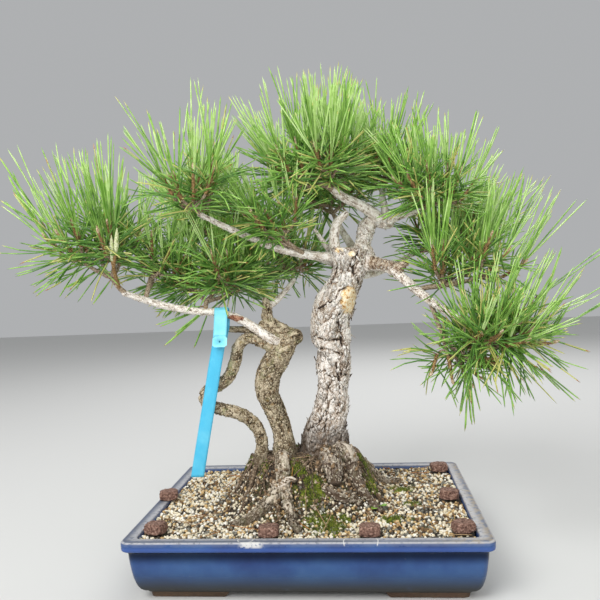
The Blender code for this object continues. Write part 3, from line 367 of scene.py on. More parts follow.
def band(level, *limits):
    """A mask that climbs from the first limit to the second and falls between the last two."""
    tree = level.id_data
    climbing = add_node(tree, "climb", level, *limits[:2])
    return add_node(tree, "times", climbing, add_node(tree, "climb", level, *limits[2:], 1.0, 0.0))


def coat(below, mask, share, hex_colour):
    """A colour laid over what is below, as far as a mask and a share say."""
    tree = mask.id_data
    return add_node(tree, "over", add_node(tree, "times", mask, share), below, linear(hex_colour))


def ring_mark(place, x, y, radius, wide):
    """A pale ring on the rim: what a drop of hard water leaves at its border when it dries."""
    tree = place.id_data
    away = add_node(tree, "distance", place, (x, y, POT_HEIGHT))
    off = add_node(tree, "unsigned", add_node(tree, "minus", away, radius))
    ring = add_node(tree, "climb", off, 0.3 * wide, wide, 1.0, 0.0)
    return add_node(tree, "times", ring, speckle(place, 2.0, 0.30, 0.50))

# %% Glaze
CLOUD_MM = 38.0
RIPPLE_MM = 6.0
BLUES = [(0.32, "#20396F"), (0.50, "#2A4A80"), (0.68, "#35588A")]

glaze, tree, shader = new_material("glazed_stoneware", IOR=1.5)
place = add_node(tree, "place")
across = add_node(tree, "across", place)
height = add_node(tree, "height", place)
past_end = add_node(tree, "minus", add_node(tree, "unsigned", across), POT_LENGTH / 2)
past_front = add_node(tree, "unsigned", add_node(tree, "deep", place))
past_front = add_node(tree, "minus", past_front, POT_DEPTH / 2)
edge = add_node(tree, "larger", past_end, past_front)

# Where glaze runs thin or thick, where its rim is rubbed, and a shadow painted in under the lip
rim_top = add_node(tree, "climb", height, 0.0618, 0.0634)
rubbed = add_node(tree, "times", speckle(place, 6.0, 0.30, 0.62, 6.0), 0.45)
worn = add_node(tree, "times", rim_top, add_node(tree, "plus", 0.55, rubbed))
scoured = add_node(tree, "times", rim_top, add_node(tree, "climb", across, 0.11, 0.175))
scoured = add_node(tree, "times", scoured, speckle(place, 7.0, 0.42, 0.56))
thin_edge = band(height, 0.0540, 0.0550, 0.0570, 0.0600)
# Painted shadow: a dark band on the wall just under the lip, where the lip shades it
painted_lip_shadow = band(height, 0.0370, 0.0490, 0.0528, 0.0541)
crept = add_node(tree, "climb", height, 0.0150, 0.0480, 1.0, 0.0)

# What hard water and earth leave on it
lime = band(height, 0.0622, 0.0632, 0.0637, 0.0640)
lime = add_node(tree, "times", lime, speckle(place, 4.0, 0.26, 0.52))
hazed = add_node(tree, "climb", height, 0.0585, 0.0632)
hazed = add_node(tree, "times", hazed, speckle(place, 7.0, 0.20, 0.60, 6.0))
stain = add_node(tree, "climb", height, 0.0090, 0.0330, 1.0, 0.0)
stain = add_node(tree, "times", stain, speckle(place, 12.0, -0.10, 0.42, 6.0))
flecks = add_node(tree, "climb", height, 0.008, 0.016)
flecks = add_node(tree, "times", speckle(place, 1.2, 0.71, 0.77), flecks)
left_drop = ring_mark(place, -0.0570, -0.1290, 0.0075, 0.0009)
right_drop = ring_mark(place, 0.0560, -0.1330, 0.0165, 0.0008)
drops = add_node(tree, "larger", left_drop, right_drop)
drops = add_node(tree, "times", drops, add_node(tree, "climb", height, 0.0600, 0.0620))
near_drop = add_node(tree, "unsigned", add_node(tree, "plus", across, 0.0500))
crust = add_node(tree, "climb", near_drop, 0.0060, 0.0150, 1.0, 0.0)
crust = add_node(tree, "times", crust, speckle(place, 3.0, 0.36, 0.50, 6.0))
on_lip = add_node(tree, "climb", height, 0.0578, 0.0600)
on_lip = add_node(tree, "times", on_lip, add_node(tree, "climb", edge, -0.0040, -0.0015))
crust = add_node(tree, "larger", add_node(tree, "times", crust, on_lip), drops)

colour = add_node(tree, "ramp", add_node(tree, "noise", place, per_mm(CLOUD_MM), 5.0), stops=BLUES)
# The near-black coat is the painted shadow under the lip
for mask, share, hex_colour in (
        (crept, 0.55, "#2C4A66"), (painted_lip_shadow, 0.84, "#0A101D"), (thin_edge, 0.50, "#3A57A0"),
        (hazed, 0.55, "#6A7084"), (worn, 1.0, "#575D6C"), (scoured, 1.0, "#887E70"),
        (stain, 0.95, "#2C2A20"), (flecks, 0.55, "#AEB0A6"), (lime, 0.70, "#BDBCBE"),
        (crust, 0.85, "#D2D0CB")):
    colour = coat(colour, mask, share, hex_colour)

# Whatever lies on the glaze also takes its gloss
matt = add_node(tree, "larger", add_node(tree, "larger", worn, hazed),
                add_node(tree, "larger", stain, crust))
gloss = add_node(tree, "span", matt, 0.20, 0.62)
# Painted shade: the specular level is lowered inside the painted shadow under the lip
lip_shadow_specular = add_node(tree, "minus", 0.5, add_node(tree, "times", painted_lip_shadow, 0.36))
ripple = add_node(tree, "times", add_node(tree, "noise", place, per_mm(RIPPLE_MM), 3.0), 0.5)
relief = add_node(tree, "plus", ripple, add_node(tree, "times", matt, 0.35))
ripples = add_node(tree, "bump", relief, 0.0005, 0.5)
link(shader, Base_Color=colour, Roughness=gloss, Specular_IOR_Level=lip_shadow_specular, Normal=ripples)
print("glaze nodes:", len(tree.nodes))

# %% [markdown]
# ### Bare clay
# The feet were wiped clean of glaze before firing, so that the tray doesn't stick to the
# kiln shelf. Fired stoneware without glaze is a matt red-brown with a sandy grain.

# %% Bare clay
SAND_MM = 0.9


def mottled(name, stops, size, bump_mm, strength=0.8, detail=5.0, grain=0.62, stain=None,
            **constants):
    """A plain natural surface: one noise of a size in mm gives both its colour and relief."""
    made, tree, shader = new_material(name, **{"Roughness": 0.85, **constants})
    place = add_node(tree, "place")
    patches = add_node(tree, "noise", place, per_mm(size), detail, grain)
    colour = add_node(tree, "ramp", patches, stops=stops)
    if stain:
        *spots, share, hex_colour = stain
        colour = coat(colour, speckle(place, *spots), share, hex_colour)
    raised = add_node(tree, "bump", patches, bump_mm / 1000, strength)
    link(shader, Base_Color=colour, Normal=raised)
    return made


clay = mottled("bare_stoneware", [(0.30, "#38281E"), (0.52, "#533D2E"), (0.72, "#7A5D45")],
               SAND_MM, 0.4, 0.7, 4.0, 0.5, (18.0, 0.35, 0.65, 0.45, "#4E4334"),
               IOR=1.5, Roughness=0.86)
print("clay grain in mm:", SAND_MM)

# %% Tray pieces
def foot_outline(sign_x, sign_y, draft):
    """An L that follows the tray's corner; draft draws its sides in."""
    outer_x = POT_LENGTH / 2 - FOOT_INSET - 0.4 * draft
    outer_y = POT_DEPTH / 2 - FOOT_INSET - 0.4 * draft
    width = FOOT_WIDTH - 0.8 * draft
    end_x = POT_LENGTH / 2 - FOOT_INSET - FOOT_LONG + 2.5 * draft
    end_y = POT_DEPTH / 2 - FOOT_INSET - FOOT_SHORT + 2.5 * draft
    corners = [
        (end_x, outer_y), (end_x, outer_y - width), (outer_x - width, outer_y - width),
        (outer_x - width, end_y), (outer_x, end_y), (outer_x, outer_y - FOOT_BEVEL),
        (outer_x - 0.3 * FOOT_BEVEL, outer_y - 0.3 * FOOT_BEVEL), (outer_x - FOOT_BEVEL, outer_y),
    ]
    placed = [(sign_x * x, sign_y * y) for x, y in corners]
    return placed if sign_x * sign_y > 0 else placed[::-1]


feet = Batch()
foot_steps = [(FOOT_DRAFT, 0.0), (0.9 * FOOT_DRAFT, 0.0007), (0.45 * FOOT_DRAFT, 0.0030),
              (0.1 * FOOT_DRAFT, FOOT_HEIGHT - 0.0005), (0.0, FOOT_HEIGHT + 0.0008)]
for sign_x in (-1, 1):
    for sign_y in (-1, 1):
        outlines = [foot_outline(sign_x, sign_y, draft) for draft, _ in foot_steps]
        feet.add(*stacked(outlines, [height for _, height in foot_steps]))
new_piece("tray_feet", feet, [clay], smooth=False)

tray = new_piece("tray_body", pot_body, [glaze], ["tray_pot"])
for sign in (-1, 1):
    bpy.ops.mesh.primitive_cylinder_add(
        vertices=40, radius=DRAIN_RADIUS, depth=0.05, location=(sign * DRAIN_OFFSET, 0.0, 0.012))
    drain = bpy.context.object
    hole = tray.modifiers.new("drain", "BOOLEAN")
    hole.object = drain
    hole.solver = "EXACT"
    graph = bpy.context.evaluated_depsgraph_get()
    tray.data = bpy.data.meshes.new_from_object(tray.evaluated_get(graph))
    tray.modifiers.clear()
    bpy.data.objects.remove(drain)
tray.data.shade_smooth()
tray.data.set_sharp_from_angle(angle=math.radians(38))
print("tray faces after drilling:", len(tray.data.polygons))

# %% [markdown]
# ## Soil
# Bonsai soil is a loose drain of pumice, fired clay and lava, in grains of 2 to 5 mm. Up to
# the trunks it is heaped on the old root mass, where humus and moss have taken over. The
# bed under the grains is one closed mesh: rings and spokes that follow the same heap as
# the model's soil, then the inner wall of the tray, then its floor.

# %% The heap
SOIL_LEVEL = 0.061
SOIL_CREST = 0.112
CREST_CENTRE = (-0.008, 0.005)
CREST_HALF = (0.064, 0.038)
SLOPE_HALF = (0.102, 0.104)
SLOPE_POWER = 1.5
LUMP_PITCH = 0.036
LUMP_HEIGHT = 0.0022
LUMP_BEND = 1.6
LUMP_DRIFT = 0.45
LUMP_FADE = 0.3


def soil_lump(x, y):
    """Rise and fall of the old root ball under the grit, in lumps a pitch apart."""
    wave = 2 * math.pi / LUMP_PITCH
    across = np.sin(wave * x + LUMP_BEND * np.sin(LUMP_DRIFT * wave * y))
    back = np.cos(wave * y + LUMP_BEND * np.sin(LUMP_DRIFT * wave * x))
    return LUMP_HEIGHT * across * back


def slope_share(x, y):
    """0 on the level grit, 1 on the crest, and how far a place is in from the heap's foot."""
    across = x - CREST_CENTRE[0]
    back = y - CREST_CENTRE[1]
    inner = np.maximum(np.hypot(across / CREST_HALF[0], back / CREST_HALF[1]), 1.0)
    outer = np.clip(np.hypot(across / SLOPE_HALF[0], back / SLOPE_HALF[1]), 0.01, 1.0)
    fall = np.clip((1.0 - 1.0 / inner) / np.maximum(1.0 / outer - 1.0 / inner, 1e-9), 0.0, 1.0)
    return (1.0 - fall) ** SLOPE_POWER, 1.0 - outer


def soil_height(x, y):
    """Height of the soil at a place: level grit, then a lumpy slope up to the crest."""
    share, inward = slope_share(x, y)
    lump = soil_lump(x, y) * np.minimum(1.0, inward / LUMP_FADE)
    return SOIL_LEVEL + (SOIL_CREST - SOIL_LEVEL) * share + lump


def heaped(x, y):
    """0 on the level grit and 1 on the crest of the heap."""
    return slope_share(x, y)[0]


print("height of the heap over the rim in mm:", round(1000 * (SOIL_CREST - POT_HEIGHT)))

# %% The bed under the grains
SOIL_SPOKES = 160
SOIL_RINGS = 64
BED_DROP = 0.0026
BED_ROUGH = 0.0017
BED_CLEARANCE = 0.0004
BED_CORNER_POWER = 14.0
BED_WALL_LEVELS = (0.045, 0.020, 0.0153)


def lumps(x, y, size, seed):
    """Smooth noise from -1 to 1 over places, in lumps of a size in metres."""
    places = zip(np.ravel(x) / size, np.ravel(y) / size)
    return np.array([noise.noise(Vector((across, deep, seed))) for across, deep in places])


def wall_inset(level):
    """How far the tray's inner wall stands in from the rim's outer edge at a height."""
    insets, heights = zip(*POT_PROFILE[-2:-7:-1])
    return float(np.interp(level, heights, insets))


def wall_ring(level):
    """The tray's inner wall at a height, as a point on each spoke from the tray's centre."""
    half_x = POT_LENGTH / 2 - wall_inset(level) - BED_CLEARANCE
    half_y = POT_DEPTH / 2 - wall_inset(level) - BED_CLEARANCE
    angle = 2 * math.pi * np.arange(SOIL_SPOKES) / SOIL_SPOKES
    across = np.abs(np.cos(angle) / half_x) ** BED_CORNER_POWER
    deep = np.abs(np.sin(angle) / half_y) ** BED_CORNER_POWER
    reach = (across + deep) ** (-1 / BED_CORNER_POWER)
    return np.stack([reach * np.cos(angle), reach * np.sin(angle)], axis=-1)


edge_ring = wall_ring(SOIL_LEVEL)
points = [np.array([[0.0, 0.0, SOIL_CREST - BED_DROP]])]
for ring in range(1, SOIL_RINGS + 1):
    x, y = (edge_ring * ring / SOIL_RINGS).T
    level = soil_height(x, y) - BED_DROP
    rough = lumps(x, y, 0.009, 1.5) + 0.6 * lumps(x, y, 0.004, 4.5)
    level += BED_ROUGH * rough * (0.25 + heaped(x, y))
    points.append(np.column_stack([x, y, level]))
for level in BED_WALL_LEVELS:
    points.append(np.column_stack([wall_ring(level), np.full(SOIL_SPOKES, level)]))
corner = np.arange(SOIL_SPOKES)
cap = np.stack([np.zeros(SOIL_SPOKES, int), 1 + corner, 1 + (corner + 1) % SOIL_SPOKES], axis=-1)
wall = bands(SOIL_RINGS + 3, SOIL_SPOKES, 1)[:, ::-1]
under = fan(1 + (SOIL_RINGS + 2) * SOIL_SPOKES, SOIL_SPOKES, flipped=True)
bed = Batch()
bed.add(np.concatenate(points), np.concatenate([cap, wall, under]))
print("rings and spokes in the bed:", SOIL_RINGS, SOIL_SPOKES)

# %% Damp humus
HUMUS_MM = 1.8
EARTHS = [(0.30, "#17130E"), (0.48, "#332920"), (0.60, "#544638"), (0.72, "#7D6C57")]
humus = mottled("damp_humus", EARTHS, HUMUS_MM, 1.2, 0.9, 6.0, 0.5,
                (17.0, 0.48, 0.64, 0.5, "#4C5222"), Roughness=0.95)
new_piece("soil_bed", bed, [humus], ["pot_soil"])

# %% [markdown]
# ### Grit
# Each grain is a rough stone of twenty faces, squeezed and turned at random. The stones
# are of several kinds, so each kind is a material of its own and every grain takes one.
# They are dealt out over a grid with a shake, which packs them evenly, and left out where
# humus and moss cover the heap.

# %% Rough stones
def stone(name, light, dark, size, roughness=0.93):
    """Rough mineral: light and dark patches a millimetre or so wide, with open pores."""
    return mottled(name, [(0.35, dark), (0.62, light)], size, 0.4, 0.6, 4.0, 0.5,
                   Roughness=roughness)


def ball_mesh(subdivisions):
    """Points and triangles of a ball one unit across; the first has twenty faces."""
    edit = bmesh.new()
    bmesh.ops.create_icosphere(edit, subdivisions=subdivisions, radius=0.5)
    points = np.array([vertex.co[:] for vertex in edit.verts])
    faces = np.array([[vertex.index for vertex in face.verts] for face in edit.faces])
    edit.free()
    return points, faces


def tumbled(count, dealer, squeeze=(0.62, 1.15), dent=0.22):
    """Unit stones: the corners of a twenty-faced ball, dented, squeezed and turned."""
    ball, faces = ball_mesh(1)
    shapes = ball[None] * (1 + dealer.uniform(-dent, dent, (count, len(ball), 1)))
    shapes = shapes * dealer.uniform(*squeeze, (count, 1, 3))
    spins = dealer.normal(size=(count, 4))
    spins /= np.linalg.norm(spins, axis=1)[:, None]
    w, x, y, z = spins.T
    turn = np.stack([
        np.stack([1 - 2 * (y * y + z * z), 2 * (x * y - w * z), 2 * (x * z + w * y)], axis=-1),
        np.stack([2 * (x * y + w * z), 1 - 2 * (x * x + z * z), 2 * (y * z - w * x)], axis=-1),
        np.stack([2 * (x * z - w * y), 2 * (y * z + w * x), 1 - 2 * (x * x + y * y)], axis=-1),
    ], axis=1)
    return np.einsum("nij,nvj->nvi", turn, shapes), faces


def shaken_grid(half_x, half_y, pitch, dealer):
    """Places a pitch apart, each moved at random by up to half of it."""
    across = np.arange(-half_x, half_x, pitch)
    deep = np.arange(-half_y, half_y, pitch)
    x, y = [grid.ravel() for grid in np.meshgrid(across, deep)]
    x = x + dealer.uniform(-0.5, 0.5, len(x)) * pitch
    y = y + dealer.uniform(-0.5, 0.5, len(y)) * pitch
    return x, y


print("corners and faces of one stone:", [len(part) for part in ball_mesh(1)])

# %% Grains
GRAIN_PITCH = 0.00325
GRAIN_SIZE = (0.0025, 0.0054)
GRAIN_SUNK = 0.30
GRAIN_MM = 2.2
WALL_CLEARANCE = 0.0022

# Each kind: name, light and dark colour, and its share. Clean grit has more of the first
# kinds, and dirty grit more of the last ones.
GRIT_KINDS = [
    ("pumice_cream", "#EEE5CE", "#CDBF9F", 0.31),
    ("pumice_white", "#F8F4EA", "#DED7C6", 0.19),
    ("fired_clay_tan", "#D3B684", "#AC8C5B", 0.16),
    ("fired_clay_brown", "#8A6C4A", "#5E482F", 0.10),
    ("lava_grey", "#8B887C", "#5E5B52", 0.16),
    ("lava_black", "#4D463B", "#2B2720", 0.08),
]
CLEAN_SHARES = np.array([1.5, 1.3, 1.1, 0.5, 0.6, 0.30])
DIRTY_SHARES = np.array([0.5, 0.4, 1.2, 2.0, 1.7, 1.5])

CAKE_NODES = [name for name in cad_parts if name.startswith("cake_")]
cake_boxes = [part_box(name) for name in CAKE_NODES]
dealer = np.random.default_rng(21)
half_x = POT_LENGTH / 2 - wall_inset(SOIL_LEVEL) - WALL_CLEARANCE
half_y = POT_DEPTH / 2 - wall_inset(SOIL_LEVEL) - WALL_CLEARANCE
x, y = shaken_grid(half_x, half_y, GRAIN_PITCH, dealer)
x, y = np.clip(x, -half_x, half_x), np.clip(y, -half_y, half_y)
cover = 1.12 - 1.02 * heaped(x, y) ** 0.95 + 0.75 * lumps(x, y, 0.018, 7.5)
kept = dealer.uniform(0, 1, len(x)) < cover
for low, high in cake_boxes:
    kept &= ~((x > low.x) & (x < high.x) & (y > low.y) & (y < high.y) & (low.z < POT_HEIGHT))
x, y = x[kept], y[kept]
size = dealer.uniform(*GRAIN_SIZE, len(x)) * (1.0 - 0.35 * heaped(x, y))
shapes, faces = tumbled(len(x), dealer)
seats = np.column_stack([x, y, soil_height(x, y) - BED_DROP + GRAIN_SUNK * size])
shapes = shapes * size[:, None, None] + seats[:, None, :]
chances = np.array([kind[3] for kind in GRIT_KINDS])
dirt = 0.30 + 0.8 * lumps(x, y, 0.024, 2.5) + 0.95 * heaped(x, y) ** 0.8 + np.clip(2.5 * x, 0, 0.28)
dirt = np.clip(dirt, 0.0, 1.0)
pale = chances * CLEAN_SHARES
dull = chances * DIRTY_SHARES
weights = pale[None] * (1 - dirt[:, None]) + dull[None] * dirt[:, None]
shares = np.cumsum(weights / weights.sum(axis=1)[:, None], axis=1)
kinds = np.minimum((dealer.uniform(0, 1, (len(x), 1)) > shares).sum(axis=1), len(GRIT_KINDS) - 1)
grit_materials = [stone(name, light, dark, GRAIN_MM) for name, light, dark, _ in GRIT_KINDS]
grains = Batch()
grains.add_many(shapes, faces, np.repeat(kinds, len(faces)))
new_piece("grit_grains", grains, grit_materials, smooth=False)
print("grains:", len(x))

# %% [markdown]
# ### Moss
# Cushion moss is a crowd of upright stems a few millimetres high. Fur would not survive
# the export, so each tuft is five blades, and a blade is a pyramid of three faces.
# Cushions follow round patches with ragged edges, set where the photo shows them, and
# more of them grow on the damp sides and back of the heap.

# %% Moss
MOSS_PITCH = 0.0017
MOSS_BLADES = 5
MOSS_RADIUS = 0.00052
MOSS_EDGE = 0.16
# Centre and half size of each patch, in millimetres
MOSS_PATCHES = metres([
    (-15, -34, 13, 15), (4, -54, 17, 16), (18, -88, 25, 19), (61, 14, 10, 28), (68, -16, 9, 12),
    (40, -76, 10, 7), (-52, -16, 13, 13), (-68, 10, 13, 18), (-14, 44, 22, 16), (36, 52, 18, 14),
    (-50, 52, 15, 15), (104, 30, 16, 12), (112, -20, 14, 8), (6, -10, 12, 8), (92, -66, 16, 8),
])

moss_light = stone("moss_tips", "#8A9628", "#566614", 3.0, roughness=0.8)
moss_deep = stone("moss_stems", "#4F5919", "#2A340E", 3.0, roughness=0.85)
dealer = np.random.default_rng(33)
tufts = []
for centre_x, centre_y, half_long, half_wide in MOSS_PATCHES:
    x, y = shaken_grid(1.25 * half_long, 1.25 * half_wide, MOSS_PITCH, dealer)
    ragged = 0.8 * lumps(x + centre_x, y + centre_y, 0.006, 9.5)
    depth = 1.0 - np.hypot(x / half_long, y / half_wide) + ragged
    patch = np.column_stack([x + centre_x, y + centre_y, np.clip(depth, 0, 0.7)])
    tufts.append(patch[depth > MOSS_EDGE])
tufts = np.concatenate(tufts)
x, y, depth = np.repeat(tufts, MOSS_BLADES, axis=0).T
x = x + dealer.normal(0, 0.0007, len(x))
y = y + dealer.normal(0, 0.0007, len(y))
base = np.column_stack([x, y, soil_height(x, y) - BED_DROP + 0.0006 + 0.0022 * depth])
lean = np.column_stack([dealer.normal(0, 0.55, (len(x), 2)), np.ones(len(x))])
tip = base + lean * (dealer.uniform(0.0016, 0.0030, len(x)) * (0.7 + depth))[:, None]
spin = dealer.uniform(0, 2 * math.pi, len(x))[:, None] + np.array(THIRDS)[None]
ring = np.stack([np.cos(spin), np.sin(spin), np.zeros_like(spin)], axis=-1)
ring = base[:, None, :] + MOSS_RADIUS * ring
blades = np.concatenate([ring - np.array([0, 0, 0.0008]), tip[:, None, :]], axis=1)
blade_faces = np.array([(0, 1, 3), (1, 2, 3), (2, 0, 3)])
tones = (dealer.uniform(0, 1, len(x)) < 0.45 + 0.6 * lumps(x, y, 0.007, 3.5)).astype(int)
cushions = Batch()
cushions.add_many(blades, blade_faces, np.repeat(tones, len(blade_faces)))
new_piece("moss_cushions", cushions, [moss_light, moss_deep], smooth=False)
print("moss blades:", len(x))

# %% [markdown]
# ## Bark
# Old black pine bark is thick plates, longer than they are wide, split by dark furrows and
# flaking in thin layers. Young boughs are smooth, with fine wrinkles, and the small stems
# have bark in little scales. All of it is relief that shows against the sky, so it is cut
# into the mesh: a cell pattern (Voronoi) gives the plates, and the distance to the
# border between two cells gives the furrow. It is read in the limb's own measures,
# round and along, so the plates follow every bend. Blender's noise_vector takes its offsets
# from the clock unless a seed is set, and then the bark would differ in every run.

# %% Relief of bark
BARK_SEED = 8
noise.seed_set(BARK_SEED)


def ramp(value, low, high):
    """0 below low, 1 above high, and a smooth climb between."""
    share = min(max((value - low) / (high - low), 0.0), 1.0)
    return share * share * (3 - 2 * share)


def plated(place, furrow):
    """Height and smoothness, from 0 to 1, of plated bark at a place counted in plates."""
    warped = place + 0.34 * noise.noise_vector(place * 0.9) + 0.10 * noise.noise_vector(place * 3.4)
    distances, centres = noise.voronoi(warped)
    plate = 0.5 + 0.5 * noise.cell(centres[0] * 9.7)
    tilt = (warped - centres[0]).dot(noise.cell_vector(centres[0] * 5.3))
    opened = ramp(noise.noise(place * 0.6 + Vector((7.1, 3.3, 0.9))), -0.30, 0.30)
    gap = 1 - (0.25 + 0.75 * opened) * (1 - ramp(distances[1] - distances[0], 0.0, furrow))
    flaky = ramp(noise.noise(place * 0.75 + Vector((1.3, 9.2, 4.4))) + 0.25 * (0.5 - plate), -0.22, 0.16)
    flakes, flake_centres = noise.voronoi(warped * 3.3 + Vector((5.1, 2.7, 9.3)))
    layer = 0.5 + 0.5 * noise.cell(flake_centres[0] * 7.3)
    crack = 1 - ramp(flakes[1] - flakes[0], 0.0, 0.20)
    grain = noise.fractal(Vector((place.x * 9.0, place.y * 9.0, place.z * 7.0)), 0.7, 2.0, 4)
    height = 0.56 + 0.14 * plate + 0.16 * tilt - flaky * (0.24 * crack + 0.24 * layer - 0.08)
    return gap * height + (0.05 + 0.10 * flaky) * grain, 0.35 * plate + 0.65 * (1 - flaky)


def wrinkled(place, furrow):
    """Height and smoothness of young bark: soft swellings with fine cracks and pits."""
    soft = noise.fractal(place * 0.9, 0.9, 2.1, 4)
    distances, _ = noise.voronoi(place + 0.4 * noise.noise_vector(place))
    crack = ramp(distances[1] - distances[0], 0.0, furrow)
    pit = ramp(noise.noise(place * 2.3 + Vector((3.3, 8.1, 0.4))), 0.26, 0.46)
    return 0.44 + 0.32 * soft + 0.22 * crack - 0.42 * pit, 0.5 + 0.5 * noise.noise(place * 0.6)


def knobbly(place, furrow):
    """Height and smoothness of bark where needles stood: short cross ridges of old scars."""
    ridge = 0.5 + 0.5 * math.sin(2 * math.pi * place.z + 3.2 * noise.noise(place * 0.8))
    distances, centres = noise.voronoi(place * 1.1 + 0.3 * noise.noise_vector(place * 1.7))
    crack = ramp(distances[1] - distances[0], 0.0, furrow)
    lump = 0.5 + 0.5 * noise.cell(centres[0] * 8.1)
    grain = noise.fractal(place * 3.0, 0.8, 2.0, 3)
    return 0.22 + 0.30 * ridge + 0.22 * lump * crack + 0.16 * crack + 0.14 * grain, 0.3 * lump


# Each kind: its relief, the width, length and depth of its plates in metres, and the width
# of a furrow as a share of a plate
BARK_KINDS = {
    "old": (plated, 0.0120, 0.024, 0.0042, 0.10),
    "scaly": (plated, 0.0060, 0.0082, 0.0026, 0.13),
    "young": (wrinkled, 0.0034, 0.0080, 0.0010, 0.16),
    "ridged": (knobbly, 0.0066, 0.0068, 0.0034, 0.18),
    "weathered": (wrinkled, 0.0036, 0.0066, 0.0013, 0.16),
    "knobbly": (knobbly, 0.0036, 0.0050, 0.0027, 0.20),
    "root": (plated, 0.0052, 0.0150, 0.0022, 0.16),
}
print("kinds of bark:", ", ".join(BARK_KINDS))

# %% [markdown]
# A limb is a tube swept along a smooth curve. Catmull-Rom runs through every station, and
# the ring at each step is carried along without twist. The tube starts inside its
# parent, so its first rings are hidden, and a free end is rounded off or cut flat.

# %% Tubes along a curve
def smooth_route(stations, step):
    """Catmull-Rom points through the stations, about a step apart, with all their values."""
    given = np.array(stations, float)
    padded = np.vstack([2 * given[0] - given[1], given, 2 * given[-1] - given[-2]])
    route = []
    for a, b, c, d in zip(padded, padded[1:], padded[2:], padded[3:]):
        count = max(1, round(np.linalg.norm((c - b)[:3]) / step))
        t = (np.arange(count) / count)[:, None]
        route.append(0.5 * (2 * b + (c - a) * t + (2 * a - 5 * b + 4 * c - d) * t ** 2
                            + (3 * b - a - 3 * c + d) * t ** 3))
    return np.vstack([*route, given[-1:]])


def unit(vector):
    """The same direction, one long."""
    return vector / np.linalg.norm(vector)


def ring_frames(route):
    """Tangent and two sideways vectors at each point, carried along without twisting."""
    side = None
    frames = []
    for tangent in np.gradient(route[:, :3], axis=0):
        tangent = unit(tangent)
        if side is None:
            side = np.cross(tangent, (0.0, 1.0, 0.0) if abs(tangent[1]) < 0.9 else (1.0, 0.0, 0.0))
        side = unit(side - tangent * side.dot(tangent))
        frames.append((tangent, side, np.cross(tangent, side)))
    return np.array(frames)


def outward(frames, angle):
    """For each ring of a tube, the directions from its centre to its corners."""
    across, over = frames[:, 1, None, :], frames[:, 2, None, :]
    return np.cos(angle)[None, :, None] * across + np.sin(angle)[None, :, None] * over


def rounded_end(route, roundness, steps=6):
    """The route with a few shrinking rings added, so that its far end closes in a dome."""
    tangent = unit(route[-1, :3] - route[-2, :3])
    radius = route[-1, 3]
    added = []
    for turn in np.linspace(0, math.pi / 2, steps + 1)[1:]:
        place = route[-1, :3] + tangent * radius * roundness * math.sin(turn)
        added.append((*place, max(radius * math.cos(turn), 0.0004), *route[-1, 4:]))
    return np.vstack([route, added])


def near_lines(points, lines):
    """Distance of each point to the nearest of some bent lines, as seen from the front."""
    flat = points[..., [0, 2]]
    nearest = np.full(flat.shape[:-1], 1.0)
    for line in lines:
        for low, high in zip(np.array(line), np.array(line[1:])):
            span = high - low
            share = np.clip((flat - low) @ span / span.dot(span), 0, 1)
            nearest = np.minimum(nearest, np.linalg.norm(flat - low - share[..., None] * span, axis=-1))
    return nearest


# %% One limb
BARK_STEP = 0.00105
CRACK_WIDTH = 0.0016
CRACK_DEPTH = 0.20
FINE_WAVES = 300.0
SLOW_WAVES = 90.0
SKIN_LEVEL = 0.55
skins = {}


def keep_layers(piece, **layers):
    """Store numbers on each point of a mesh, where the bark's material reads them by name."""
    for layer, values in layers.items():
        made = piece.data.attributes.new(layer, "FLOAT", "POINT")
        made.data.foreach_set("value", np.clip(values, 0, 1).astype(np.float32).ravel())


